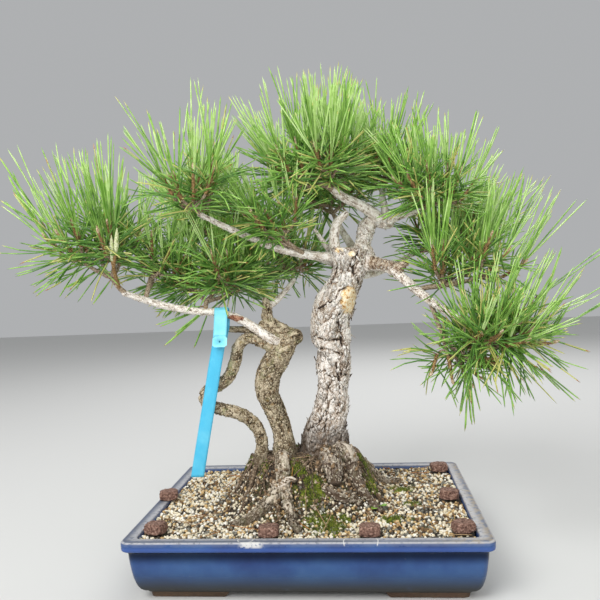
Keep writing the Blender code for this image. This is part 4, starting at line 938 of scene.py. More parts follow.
def bark_limb(name, stations, kind, finish, nodes=(), swell=None, lobes=(), end=0.6, scars=(),
              cracks=(), step=BARK_STEP):
    """One limb with its bark's relief. Lobes are (bearing, height, size) buttresses at its foot."""
    relief, plate_width, plate_length, depth, furrow = BARK_KINDS[kind]
    counted = [(*station, index / (len(stations) - 1)) for index, station in enumerate(stations)]
    route = smooth_route(counted, step)
    body = len(route)
    route = rounded_end(route, end)
    mean = route[:body, 3].mean()
    sides = max(10, round(2 * math.pi * mean / step))
    frames = ring_frames(route[:body])
    frames = np.vstack([frames, np.repeat(frames[-1:], len(route) - body, axis=0)])
    along = np.concatenate([[0], np.cumsum(np.linalg.norm(np.diff(route[:, :3], axis=0), axis=1))])
    along[body:] = along[body - 1] + (route[body - 1, 3] - route[body:, 3])
    angle = 2 * math.pi * np.arange(sides) / sides
    out = outward(frames, angle)
    radius = np.repeat(route[:, 3:4], sides, axis=1)
    if swell:
        radius = radius * swell(angle[None, :], route[:, 4:5])
    for bearing, reach, size in lobes:
        toward = np.array((math.cos(bearing), math.sin(bearing), 0.0))
        radius = radius * (1 + size * np.exp(-along[:, None] / reach) * np.clip(out @ toward, 0, 1) ** 3)
    smooth = route[:, None, :3] + radius[:, :, None] * out
    seed = Vector((len(name) * 1.7, sum(map(ord, name)) * 0.13, 0.0))
    heights = np.empty((len(route), sides))
    tones = np.empty((len(route), sides))
    for ring in range(len(route)):
        for corner, turn in enumerate(angle):
            here = Vector((math.cos(turn) * mean / plate_width, math.sin(turn) * mean / plate_width,
                           along[ring] / plate_length)) + seed
            heights[ring, corner], tones[ring, corner] = relief(here, furrow)
    fine = np.array([[noise.noise(Vector(place) * FINE_WAVES) for place in ring] for ring in smooth])
    slow = np.array([[noise.noise(Vector(place) * SLOW_WAVES) for place in ring] for ring in smooth])
    scar_mask = np.zeros_like(heights)
    for place, half, sink in scars:
        away = np.linalg.norm((smooth - np.array(place)) / np.array(half), axis=2)
        mask = np.clip((1.15 - away - 0.25 * fine) / 0.18, 0, 1)
        heights = heights * (1 - mask) + mask * (0.10 * fine + 0.35 - sink)
        scar_mask = np.maximum(scar_mask, mask)
    if cracks:
        away = near_lines(smooth, cracks) + 0.0011 * slow + 0.0005 * fine
        shut = np.clip(away / (CRACK_WIDTH * (1.0 + 1.1 * slow)), 0, 1)
        shut = np.where(out[:, :, 1] < 0.1, shut, 1.0)
        heights = heights * shut - CRACK_DEPTH * (1 - shut)
    limit = np.minimum(1.0, route[:, 3:4] / (2.2 * depth))
    lift = limit * depth * (heights - SKIN_LEVEL)
    cap = (np.arange(len(route)) >= body)[:, None, None]
    normal = np.where(cap, 0.6 * frames[:, 0, None, :] + 0.4 * out, out)
    surface = smooth + normal * lift[:, :, None]
    skins[name] = (surface[:body], out[:body], frames[:body, 0], radius[:body], scar_mask[:body])
    limb = Batch()
    limb.add(surface.reshape(-1, 3), closed_tube(len(route), sides))
    piece = new_piece(name, limb, [finish], nodes)
    keep_layers(piece, relief=heights, tone=tones, scar=scar_mask)

# %% [markdown]
# ### Bark's colours
# The relief is stored on each point of the mesh as a plain number, and a colour ramp reads
# it: the furrows keep shadow, moisture and red inner cork, and the outer skin of each plate
# is bleached grey. Lichen grows in soft patches over both. A scar is bare wood, with
# orange resin.

# %% Bark materials
SOIL_FADE = 0.034


def bark(name, layers_of_cork, lichen, lichen_share, stain, stain_share, fine_mm, wound,
         soil_line=0.134, speck_share=0.62):
    """Weathered cork, darkest in its furrows; the finest grain is left to bump."""
    furrow, inner, middle, outer = layers_of_cork
    made, tree, shader = new_material(name, Roughness=0.93)
    place = add_node(tree, "place")
    relief, tone, scar = [add_node(tree, "layer", attribute_name=layer)
                          for layer in ("relief", "tone", "scar")]
    grain = add_node(tree, "noise", place, per_mm(fine_mm), 6.0, 0.65)

    # Cork by its height, with more grain where it is dark
    contrast = add_node(tree, "minus", 2.1, add_node(tree, "times", tone, 1.2))
    contrast = add_node(tree, "times", contrast, add_node(tree, "climb", relief, 0.0, 0.30))
    grained = add_node(tree, "times", add_node(tree, "minus", grain, 0.5), contrast)
    toned = add_node(tree, "times", add_node(tree, "minus", tone, 0.4), 0.16)
    level = add_node(tree, "plus", add_node(tree, "plus", relief, grained), toned)
    skin = add_node(tree, "ramp", level, stops=[
        (0.08, furrow), (0.27, inner), (0.50, middle), (0.76, outer)])

    # Lichen, stains, dark specks, and earth washed up from the soil
    mossed = speckle(place, 9.0, 0.62 - lichen_share, 0.80 - lichen_share, 5.0)
    skin = coat(skin, mossed, 0.65, lichen)
    skin = coat(skin, speckle(place, 4.5, 0.54, 0.68, 6.0, 0.7), stain_share, stain)
    specks = speckle(place, 1.9 * fine_mm, 0.575, 0.650, 6.0, 0.72)
    skin = coat(skin, specks, speck_share, furrow)
    height = add_node(tree, "height", place)
    soiled = add_node(tree, "climb", height, soil_line - SOIL_FADE, soil_line, 1.0, 0.0)
    soiled = add_node(tree, "times", soiled, speckle(place, 5.0, 0.12, 0.54, 5.0))
    skin = coat(skin, soiled, 0.86, "#4D3C2C")

    weeping = add_node(tree, "noise", place, per_mm(3.2), 6.0, 0.7)
    bared = add_node(tree, "ramp", weeping, stops=list(zip((0.36, 0.43, 0.51, 0.62), wound)))
    skin = add_node(tree, "over", scar, skin, bared)
    link(shader, Base_Color=skin, Normal=add_node(tree, "bump", grain, 0.0007, 0.8))
    return made


# Bare wood under a wound, from its shadows to its lights
RESIN = ("#7A4A22", "#E0B070", "#F6E2B8", "#FCF5E2")
TORN = ("#2E1A12", "#64392A", "#96624A", "#C09A7E")
old_bark = bark("plated_pine_bark", ("#2F251D", "#836F5B", "#C6B9AB", "#F0EAE2"), "#B5B3A0", 0.02,
                "#A88566", 0.40, 1.3, RESIN, soil_line=0.161)
scaly_bark = bark("scaly_pine_bark", ("#261D12", "#52422C", "#7D6D54", "#CBBDA2"), "#858B62", 0.10,
                  "#A5713A", 0.50, 0.8, RESIN)
young_bark = bark("young_pine_bark", ("#685A4E", "#AB9B8A", "#D9CEC0", "#F6F1E9"), "#CBC8BA", 0.03,
                  "#B2977F", 0.30, 1.0, TORN, speck_share=0.30)
knobbly_bark = bark("knobbly_pine_bark", ("#241A12", "#604936", "#947B63", "#D3C5B1"), "#A7A38C", 0.03,
                    "#80593B", 0.55, 1.0, TORN)
root_bark = bark("root_bark", ("#211810", "#51432F", "#887A67", "#CFC3B0"), "#757858", 0.12,
                 "#6E4E32", 0.40, 1.1, TORN, soil_line=0.084)
rubbed_root = bark("rubbed_root_bark", ("#3A2C20", "#7C6B58", "#B8AA98", "#E2D8CA"), "#9C9880", 0.04,
                   "#8C6A4A", 0.30, 1.1, TORN, soil_line=0.070)
earthy_root = bark("earthy_root_bark", ("#1F1710", "#4A3C2E", "#85776A", "#CDC2B2"), "#757858", 0.08,
                   "#6A4A30", 0.45, 1.2, TORN, soil_line=0.126)
FINISHES = {"old": old_bark, "scaly": scaly_bark, "young": young_bark, "knobbly": knobbly_bark,
            "ridged": young_bark, "weathered": old_bark, "root": root_bark}
print("kinds of bark with a finish:", len(FINISHES))

# %% Trunks and stems
# Each station is x, y, z and radius in millimetres
STEMS = {
    "trunk_main": metres([
        (16, 16, 97, 34), (16, 16, 114, 29.5), (17, 16, 129, 26.2), (19, 16, 143, 23.5),
        (23, 15, 156, 20.8), (26.5, 14, 173, 19.2), (28, 12, 194, 19), (30, 8, 217, 19.5),
        (32, 5, 235, 18.4), (30, 2, 247, 20.5), (28, 1, 262, 21.8), (32, 1, 281, 21.5),
        (41, 3, 299, 20.3), (48.5, 6, 315, 18.3), (52, 8, 326, 18.5), (52.5, 9, 338, 22.2),
        (54, 9, 351, 22.2),
    ]),
    "trunk_second": metres([
        (-31, -6, 100, 18), (-32, -6, 117, 12.8), (-32.5, -6, 140, 10.8), (-41, -8, 167, 10.4),
        (-47, -9, 190, 13), (-44, -10, 212, 13.6), (-34, -9, 229, 13.8), (-25, -8, 242, 13),
        (-19, -7, 252, 10.5),
    ]),
    "trunk_second_head": metres([
        (-19, -7, 246, 8.5), (-25, -9, 258, 8.5), (-35, -10, 265, 7.8), (-43, -10, 273, 6.8),
        (-44, -6, 286, 5.2), (-46, -2, 297, 3.6),
    ]),
    "stem_rear": metres([
        (-24, 18, 100, 10), (-27, 16, 118, 7.8), (-30, 13, 140, 6.8), (-35, 8, 165, 6),
        (-42, -3, 192, 5.2),
    ]),
    "stem_loop_lower": metres([
        (-59, -13, 100, 9.5), (-57, -14, 116, 7.8), (-55, -16, 134, 6.8), (-61, -20, 153, 7.2),
        (-76, -25, 167, 7.1), (-97, -28, 174, 7), (-112, -29, 180, 6.6), (-118, -29, 189.5, 6.2),
    ]),
    "stem_loop_upper": metres([
        (-118.2, -29, 190, 6.2), (-112, -29, 197, 6.2), (-98, -29, 202, 6.4), (-87, -28, 212, 6.6),
        (-80, -26, 228, 6.5), (-76, -24, 244, 6.3), (-67, -22, 253, 6), (-55, -21, 251, 6.2),
        (-36, -13, 240, 6.8),
    ]),
}
RESIN_SCAR = ((0.0525, -0.012, 0.2915), (0.0098, 0.020, 0.0150), 0.10)
CHOPPED_TOP = ((0.056, 0.009, 0.3555), (0.028, 0.028, 0.0035), 0.10)
TOP_STAINS = [((0.0424, -0.013, 0.3491), (0.0045, 0.010, 0.0030), -0.2),
              ((0.0571, -0.013, 0.3443), (0.0040, 0.010, 0.0026), -0.2)]
TRUNK_LOBES = [(math.radians(-50), 0.020, 0.16), (math.radians(30), 0.016, 0.14),
               (math.radians(110), 0.020, 0.18), (math.radians(195), 0.018, 0.14)]

# The trunk's long open cracks, as (x, z) on its front in millimetres
TRUNK_CRACKS = [metres(line) for line in [
    [(40, 335), (38, 326), (35, 319), (30, 311)],
    [(65, 346), (61, 338), (58, 331), (58, 323), (62, 317), (64, 310)],
    [(13, 283), (27, 290), (34, 292), (39, 299), (41, 304), (50, 307)],
    [(42, 279), (38, 272), (40, 264), (42, 256), (41, 247), (42, 240)],
    [(34, 221), (35, 206), (37, 194), (37, 173)],
    [(38, 213), (39, 207), (46, 205)],
    [(24, 176), (21, 166), (12, 154), (-5, 139)],
    [(20, 159), (18, 147), (15, 141)],
    [(11, 210), (11, 187)],
    [(12, 237), (22, 238), (42, 230)],
    [(14, 250), (26, 248), (38, 248)],
]]


def trunk_swell(angle, along):
    """Root flare in lobes at the foot, ribs up the trunk, and knots in the old bark."""
    flare = 0.12 * np.exp(-along * 9.0) * np.cos(3 * angle + 0.8)
    ribs = 0.055 * np.cos(4 * angle + 3.0 * np.sin(5.0 * along))
    knots = 0.045 * np.cos(2 * angle + 44.0 * along)
    return 1.0 + flare + ribs + knots


def stem_swell(angle, along):
    """Slow swellings that wind up a thinner trunk."""
    return 1.0 + 0.05 * np.cos(2 * angle + 9.0 * along) + 0.03 * np.cos(3 * angle - 14.0 * along)


bark_limb("trunk_main", STEMS["trunk_main"], "old", old_bark, ["main_trunk"], trunk_swell,
          TRUNK_LOBES, 0.08, [RESIN_SCAR, CHOPPED_TOP, *TOP_STAINS], TRUNK_CRACKS, step=0.0010)
bark_limb("trunk_second", STEMS["trunk_second"], "scaly", scaly_bark, ["second_trunk"],
          stem_swell, end=0.7, step=0.0009)
PLAIN_STEMS = {"trunk_second_head": [], "stem_rear": ["rear_stem"],
               "stem_loop_lower": ["loop_stem_lower"],
               "stem_loop_upper": ["loop_stem_upper"]}
for name, nodes in PLAIN_STEMS.items():
    bark_limb(name, STEMS[name], "scaly", scaly_bark, nodes)
print("trunks and stems:", len(STEMS))

# %% Snags and boughs
TORN_BARK = ((-0.0790, -0.031, 0.2770), (0.0110, 0.006, 0.0033), 0.3)

# Piece, the model's node, kind of bark, and stations in millimetres
LIMBS = [
    ("bough_leader", "leader", "ridged", [
        (63, 11, 338, 11.5), (68, 13, 350, 9.8), (71, 17, 362, 8.2), (73, 19, 376, 8),
        (84, 16, 384, 7.8), (95, 13, 382, 8.6), (101, 12, 380, 7.8)]),
    ("snag_dead", "dead_snag", "young", [
        (42, 1, 338, 6.2), (37, -2, 356, 6.2), (38, -2, 371, 5.7), (42, -4, 382, 5.2),
        (52, -6, 391, 3.6)]),
    ("snag_small", "small_snag", "young", [
        (38, 12, 343, 3.6), (28, 12, 354, 3.2), (21, 11, 365, 2.7), (14, 11, 376, 1.8)]),
    ("stub_left_blunt", "left_blunt_stub", "scaly", [
        (-36, -13, 261, 5), (-52, -16, 262, 4.6), (-70, -16, 263, 4.1), (-87, -15, 264, 3.6)]),
    ("bough_upper_left", "upper_left_bough", "young", [
        (46, 5, 342, 6.2), (28, 1, 343, 5.5), (3, -6, 346, 4.5), (-30, -21, 355, 4),
        (-56, -33, 367, 3.6), (-80, -46, 379, 3.2), (-106, -57, 393, 2.5)]),
    ("bough_top_left", "top_left_bough", "young", [
        (94, 13, 381, 6.8), (82, 8, 392, 6.5), (66, 2, 402, 5.7), (51, -4, 409, 5.1),
        (39, -10, 418, 4.5)]),
    ("bough_top_middle", "top_middle_bough", "young", [
        (96, 14, 382, 5.2), (97, 18, 396, 4.3), (95, 26, 412, 3.6), (95.8, 31, 420.5, 3.3)]),
    ("bough_top_right", "top_right_bough", "young", [
        (96, 11, 379, 4.8), (112, 6, 385, 3.8), (126, 1, 388.5, 3.3), (138, -4, 391, 2.9)]),
    ("bough_right", "right_bough", "weathered", [
        (64, 7, 335, 12), (80, 3, 333, 8.8), (96, -4, 328, 6.4), (107, -12, 320, 5.8),
        (119, -20, 308, 5.2), (136, -33, 292, 4.5), (153, -48, 278, 3.6), (165, -58, 271, 3)]),
    ("bough_left", "left_bough", "young", [
        (-30, -12, 246, 5.8), (-43, -20, 254, 5.5), (-66, -26, 272, 4.7), (-92, -29, 283, 4.2),
        (-126, -38, 288, 4), (-160, -47, 297, 3.7), (-196, -54, 311, 3.2)]),
    ("bough_back_spur", "back_spur_bough", "young", [
        (-43, -6, 287, 3.6), (-33, 5, 295, 3.5), (-24, 22, 306, 3.1), (-16, 40, 318, 2.8)]),
    ("bough_back_left", "back_left_bough", "young", [
        (46, 12, 334, 6.8), (28, 30, 340, 5.8), (-4, 52, 352, 4.6), (-40, 68, 362, 3.8),
        (-74, 78, 371, 3.1)]),
    ("bough_back_centre", "back_centre_bough", "young", [
        (58, 16, 343, 6.2), (56, 36, 356, 5.2), (46, 54, 374, 4.1), (38, 64, 391, 3.2)]),
    ("bough_back_right", "back_right_bough", "young", [
        (54, 12, 322, 6.6), (76, 32, 322, 5.6), (98, 54, 328, 4.6), (120, 74, 338, 3.6),
        (132, 82, 345, 3)]),
]
for name, node, kind, rows in LIMBS:
    slot = "bough_bark" if "bough" in name else "trunk_bark"
    scars = [TORN_BARK] if name == "bough_left" else ()
    bark_limb(name, metres(rows), kind, FINISHES[kind], [node], scars=scars, end=0.8)

# Burls and knots that stand proud of the tubes
KNOTS = [
    ("knot_right_bough", "knobbly", [(78, 1, 334, 7.8), (90, -3, 331, 6.4), (101, -7, 327.5, 6.2),
        (110, -12, 324, 6)]),
    ("knot_right_spur", "knobbly", [(104, -9, 326, 5), (113, -12, 329, 4), (118, -13, 330, 2.6)]),
    ("knot_second_right", "scaly", [(-23, -8, 248, 9.8), (-15, -9, 251.5, 9.8), (-10.5, -9, 253, 9)]),
    ("knot_second_top", "scaly", [(-16, -9, 253, 8.5), (-27, -10, 257.5, 8.8), (-40, -11, 263, 8),
        (-49, -12, 266.5, 6.6)]),
    ("knot_leader_foot", "old", [(66, 8, 330, 12.5), (72, 8, 338, 11), (73.5, 10, 348, 8.5)]),
    ("knot_leader_bend", "ridged", [(71.5, 16, 362, 8.8), (73.5, 16, 371, 9.2), (78, 15, 378, 8.8)]),
]
for name, kind, rows in KNOTS:
    bark_limb(name, metres(rows), kind, FINISHES[kind], end=0.8, step=0.0009)
print("boughs and knots:", len(LIMBS) + len(KNOTS))

# %% [markdown]
# ### Surface roots
# Old pines are admired for roots that grip the soil. The thick ones run out from the
# trunks and dive under the grit, about a third sunk. Before the main trunk's foot lie a
# burl and a coiled root, and a rubbed knot bridges the fork of the front roots.

# %% Surface roots
ROOT_RIDE = 0.35
# Stations are x, y and radius in millimetres; the heap gives their height
ROOTS = {
    "root_front_left": [
        (-31, -12, 8.5), (-30, -30, 8), (-30, -48, 7.4), (-42, -61, 6.8), (-55, -71, 6.2),
        (-68, -79, 5.2), (-80, -85, 3.6)],
    "root_front": [(-29, -40, 5.6), (-24, -56, 6.2), (-20, -72, 5.4), (-13, -90, 4.6), (-7, -104, 3.4)],
    "root_fork_knot": [
        (-41, -47, 2.2), (-36, -53, 3.4), (-28, -55, 4.4), (-20, -52, 3.6), (-14, -53, 2.2)],
    "root_front_inner": [(-36, -62, 1.6), (-31, -74, 1.7), (-30, -86, 1.4), (-34, -96, 1)],
    "root_right": [(30, 0, 13.5), (41, -13, 10.8), (49, -24, 7.4), (60, -36, 5), (78, -48, 3)],
    "root_back_right": [(26, 20, 10), (58, 34, 8), (82, 52, 6), (104, 60, 3.8)],
    "root_back": [(12, 30, 10), (2, 56, 7.2), (-14, 80, 5.2), (-20, 98, 3.4)],
    "root_burl": [(20, -14, 10), (24, -25, 11.2), (27, -35, 10.4), (29, -43, 6.6)],
    "root_coil": [(16, -50, 3.6), (25, -54, 5.6), (36, -53, 6.4), (46, -49, 5.2), (55, -52, 3.2)],
}
ROOT_RAISED = {"root_fork_knot": 0.0070, "root_front_inner": 0.0030}
ROOT_FINISHES = {"root_fork_knot": rubbed_root, "root_burl": earthy_root, "root_coil": earthy_root,
                 "root_right": earthy_root}
for name, rows in ROOTS.items():
    route = []
    for x, y, radius in metres(rows):
        ride = float(soil_height(x, y)) + ROOT_RIDE * radius + ROOT_RAISED.get(name, 0.0)
        route.append((x, y, ride, radius))
    bark_limb(name, route, "root", ROOT_FINISHES.get(name, root_bark), end=0.5)
print("surface roots:", len(ROOTS))

# %% [markdown]
# ### Flakes
# Pine bark sheds in thin scales that lift at one end before they fall. Bump can't show
# that against the sky, so each scale is a small bent plate of its own. A random spot on
# a limb's skin gives its place, and the limb's direction and radius give its bend. A few
# loose chips of the main trunk are placed one by one, by the spot nearest to theirs.

# %% Flakes
FLAKE_CORNERS = 6
FLAKE_THICK = 0.0005
FLAKE_RIDE = 0.0003
LIFTED_SHARE = 0.12
LIFTED_TILT = 0.45

# Limb, finish, how many, and the ranges of half lengths and half widths in millimetres
FLAKED = [
    ("trunk_main", old_bark, 1700, (1.2, 5.2), (0.9, 2.6)),
    ("trunk_second", scaly_bark, 1700, (0.7, 2.1), (0.6, 1.5)),
    ("trunk_second_head", scaly_bark, 260, (0.7, 1.7), (0.5, 1.1)),
    ("stem_rear", scaly_bark, 160, (0.7, 1.8), (0.5, 1.1)),
    ("stem_loop_lower", scaly_bark, 640, (0.7, 1.8), (0.5, 1.1)),
    ("stem_loop_upper", scaly_bark, 660, (0.7, 1.8), (0.5, 1.1)),
    ("knot_second_right", scaly_bark, 160, (0.7, 1.8), (0.6, 1.2)),
    ("knot_second_top", scaly_bark, 220, (0.7, 1.8), (0.6, 1.2)),
    ("knot_leader_foot", old_bark, 160, (1, 2.6), (0.7, 1.6)),
    ("knot_leader_bend", young_bark, 160, (0.9, 2.6), (0.7, 1.5)),
    ("knot_right_bough", knobbly_bark, 260, (0.6, 1.7), (0.6, 1.6)),
    ("knot_right_spur", knobbly_bark, 80, (0.6, 1.4), (0.5, 1.1)),
    ("bough_right", old_bark, 260, (0.6, 1.8), (0.5, 1.1)),
    ("bough_leader", young_bark, 420, (0.9, 2.8), (0.7, 1.7)),
    ("bough_left", young_bark, 420, (0.6, 1.8), (0.4, 0.9)),
    ("bough_upper_left", young_bark, 260, (0.6, 1.6), (0.4, 0.9)),
    ("root_front_left", root_bark, 300, (0.8, 2.6), (0.6, 1.5)),
    ("root_front", root_bark, 300, (0.8, 2.6), (0.6, 1.5)),
    ("root_right", root_bark, 220, (0.8, 2.4), (0.6, 1.4)),
    ("root_back_right", root_bark, 200, (0.8, 2.6), (0.6, 1.5)),
    ("root_back", root_bark, 200, (0.8, 2.6), (0.6, 1.5)),
    ("root_burl", root_bark, 240, (0.8, 2.6), (0.6, 1.6)),
    ("root_coil", root_bark, 200, (0.8, 2.4), (0.6, 1.4)),
]
# Loose chips that stand out from the main trunk: x, z and half length in millimetres, and tilt
CHIPS = [(53, 250, 4.6, -0.75), (10, 245.4, 3, 0.6), (11, 248, 2.6, -0.5), (-3, 149.4, 3, 0.7),
         (27, 313, 2.6, 0.6), (23, 304.2, 2.6, -0.55)]


def scales(spots, outs, tangents, radii, longs, wides, tilts, dealer):
    """Bent plates on a limb: their points, triangles, and each point's height in the bark."""
    count = len(spots)
    step = np.arange(FLAKE_CORNERS) + dealer.uniform(-0.3, 0.3, (count, FLAKE_CORNERS))
    turn = 2 * math.pi * step / FLAKE_CORNERS
    reach = dealer.uniform(0.70, 1.20, (count, FLAKE_CORNERS))
    along = longs[:, None] * reach * np.cos(turn)
    aside = wides[:, None] * reach * np.sin(turn)
    skew = dealer.normal(0, 0.35, count)[:, None]
    along, aside = (along * np.cos(skew) - aside * np.sin(skew),
                    along * np.sin(skew) + aside * np.cos(skew))
    lifted = tilts[:, None] * along + 0.6 * np.abs(tilts * longs)[:, None]
    lifted = lifted - aside ** 2 / (2 * radii[:, None])
    side = np.cross(tangents, outs)
    flat = along[..., None] * tangents[:, None] + aside[..., None] * side[:, None]
    top = spots[:, None] + flat + (lifted + FLAKE_RIDE)[..., None] * outs[:, None]
    sunk = lifted + FLAKE_RIDE - FLAKE_THICK
    under = spots[:, None] + 0.85 * flat + sunk[..., None] * outs[:, None]
    faces = np.concatenate([bands(2, FLAKE_CORNERS)[:, ::-1], fan(0, FLAKE_CORNERS),
                            fan(FLAKE_CORNERS, FLAKE_CORNERS, flipped=True)])
    level = dealer.uniform(0.48, 0.98, count)[:, None]
    level = level + dealer.uniform(-0.12, 0.12, (count, FLAKE_CORNERS))
    levels = np.concatenate([level, np.full((count, FLAKE_CORNERS), 0.10)], axis=1)
    return np.concatenate([top, under], axis=1), faces, levels.ravel()


print("limbs that shed flakes:", len(FLAKED))

# %% Flakes on every limb
dealer = np.random.default_rng(46)
flake_sets = {"trunk_bark": (Batch(), []), "bough_bark": (Batch(), [])}
finishes = list(FINISHES.values())
for name, finish, count, *ranges in FLAKED:
    longs, wides = metres(ranges)
    surface, outs, tangents, radii, wounds = skins[name]
    rings, sides = radii.shape
    ring = dealer.integers(1, rings - 1, count)
    corner = dealer.integers(0, sides, count)
    tilts = dealer.normal(0, 0.12, count)
    tilts = tilts + np.where(dealer.uniform(size=count) < LIFTED_SHARE, LIFTED_TILT, 0.0)
    long = dealer.uniform(*longs, count)
    if name == "trunk_main":
        sideways = np.abs(outs[..., 1]) < 0.35
        for *chip, tilt in CHIPS:
            x, z, half = metres([chip])[0]
            miss = np.hypot(surface[..., 0] - x, surface[..., 2] - z) + np.where(sideways, 0.0, 1.0)
            best = np.unravel_index(miss.argmin(), miss.shape)
            ring, corner = np.append(ring, best[0]), np.append(corner, best[1])
            tilts, long = np.append(tilts, tilt), np.append(long, half)
    spots = surface[ring, corner]
    kept = (wounds[ring, corner] < 0.1) & (spots[:, 2] > soil_height(spots[:, 0], spots[:, 1]))
    wide = dealer.uniform(*wides, len(long))
    shapes, faces, levels = scales(spots[kept], outs[ring, corner][kept], tangents[ring][kept],
                                   radii[ring, corner][kept], long[kept], wide[kept], tilts[kept], dealer)
    batch, heights = flake_sets["bough_bark" if "bough" in name else "trunk_bark"]
    batch.add_many(shapes, faces, finishes.index(finish))
    heights.append(levels)
for slot, (batch, heights) in flake_sets.items():
    piece = new_piece("flakes_of_" + slot, batch, finishes, smooth=False)
    levels = np.concatenate(heights)
    keep_layers(piece, relief=levels, tone=0.6 * levels)

# %% [markdown]
# ### Crumbs of the old root ball
# Between the roots lies neither grit nor bark but what both leave: crumbs of humus, bits of
# dead root and shed bark, one to five millimetres wide. They are dealt out where the heap
# rises, and some lie on the backs of the roots as well.

# %% Crumbs
CRUMB_KINDS = [("humus_crumb", "#6C5942", "#2E2419"), ("dead_root_crumb", "#9A7F60", "#5A4733"),
               ("shed_bark_crumb", "#CDBDA6", "#8C7A65")]
CRUMB_SHARES = (0.32, 0.36, 0.32)
CRUMB_TRIES = 8600
CRUMBS_ON_ROOT = 150
CRUMB_MM = 1.6
CRUMB_SMALLEST = 0.0012
CRUMB_SPREAD = 0.0044
dealer = np.random.default_rng(52)
x = dealer.uniform(-0.112, 0.104, CRUMB_TRIES)
y = dealer.uniform(-0.104, 0.110, CRUMB_TRIES)
thick_on = np.clip(0.10 + 1.1 * heaped(x, y) ** 0.8 + 0.6 * lumps(x, y, 0.016, 5.5), 0.0, 0.85)
kept = (dealer.uniform(0, 1, len(x)) < thick_on) & (heaped(x, y) > 0.004)
spots = np.column_stack([x, y, soil_height(x, y) - BED_DROP + 0.0006])[kept]
for name in ROOTS:
    surface, outs, *_ = skins[name]
    ring = (dealer.beta(1.0, 2.0, CRUMBS_ON_ROOT) * (len(surface) - 1)).astype(int)
    corner = dealer.integers(0, surface.shape[1], CRUMBS_ON_ROOT)
    on_back = outs[ring, corner, 2] > 0.25
    spots = np.vstack([spots, surface[ring, corner][on_back]])
shapes, faces = tumbled(len(spots), dealer, squeeze=(0.45, 1.25), dent=0.30)
size = CRUMB_SMALLEST + CRUMB_SPREAD * dealer.uniform(0, 1, len(spots)) ** 2.0
shapes = shapes * size[:, None, None] + (spots + np.outer(0.15 * size, (0, 0, 1)))[:, None, :]
kinds = dealer.choice(len(CRUMB_KINDS), len(spots), p=CRUMB_SHARES)
crumb_materials = [stone(name, light, dark, CRUMB_MM) for name, light, dark in CRUMB_KINDS]
strewn = Batch()
strewn.add_many(shapes, faces, np.repeat(kinds, len(faces)))
new_piece("root_ball_crumbs", strewn, crumb_materials, smooth=False)
print("crumbs:", len(spots))

# %% [markdown]
# ## Twigs and shoots
# A pine grows in whorls: each spring a few new shoots rise from the end of last year's.
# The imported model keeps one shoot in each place. The same rule and the same seed put those
# back here, and side shoots are added around every one of them, turned up to the light.

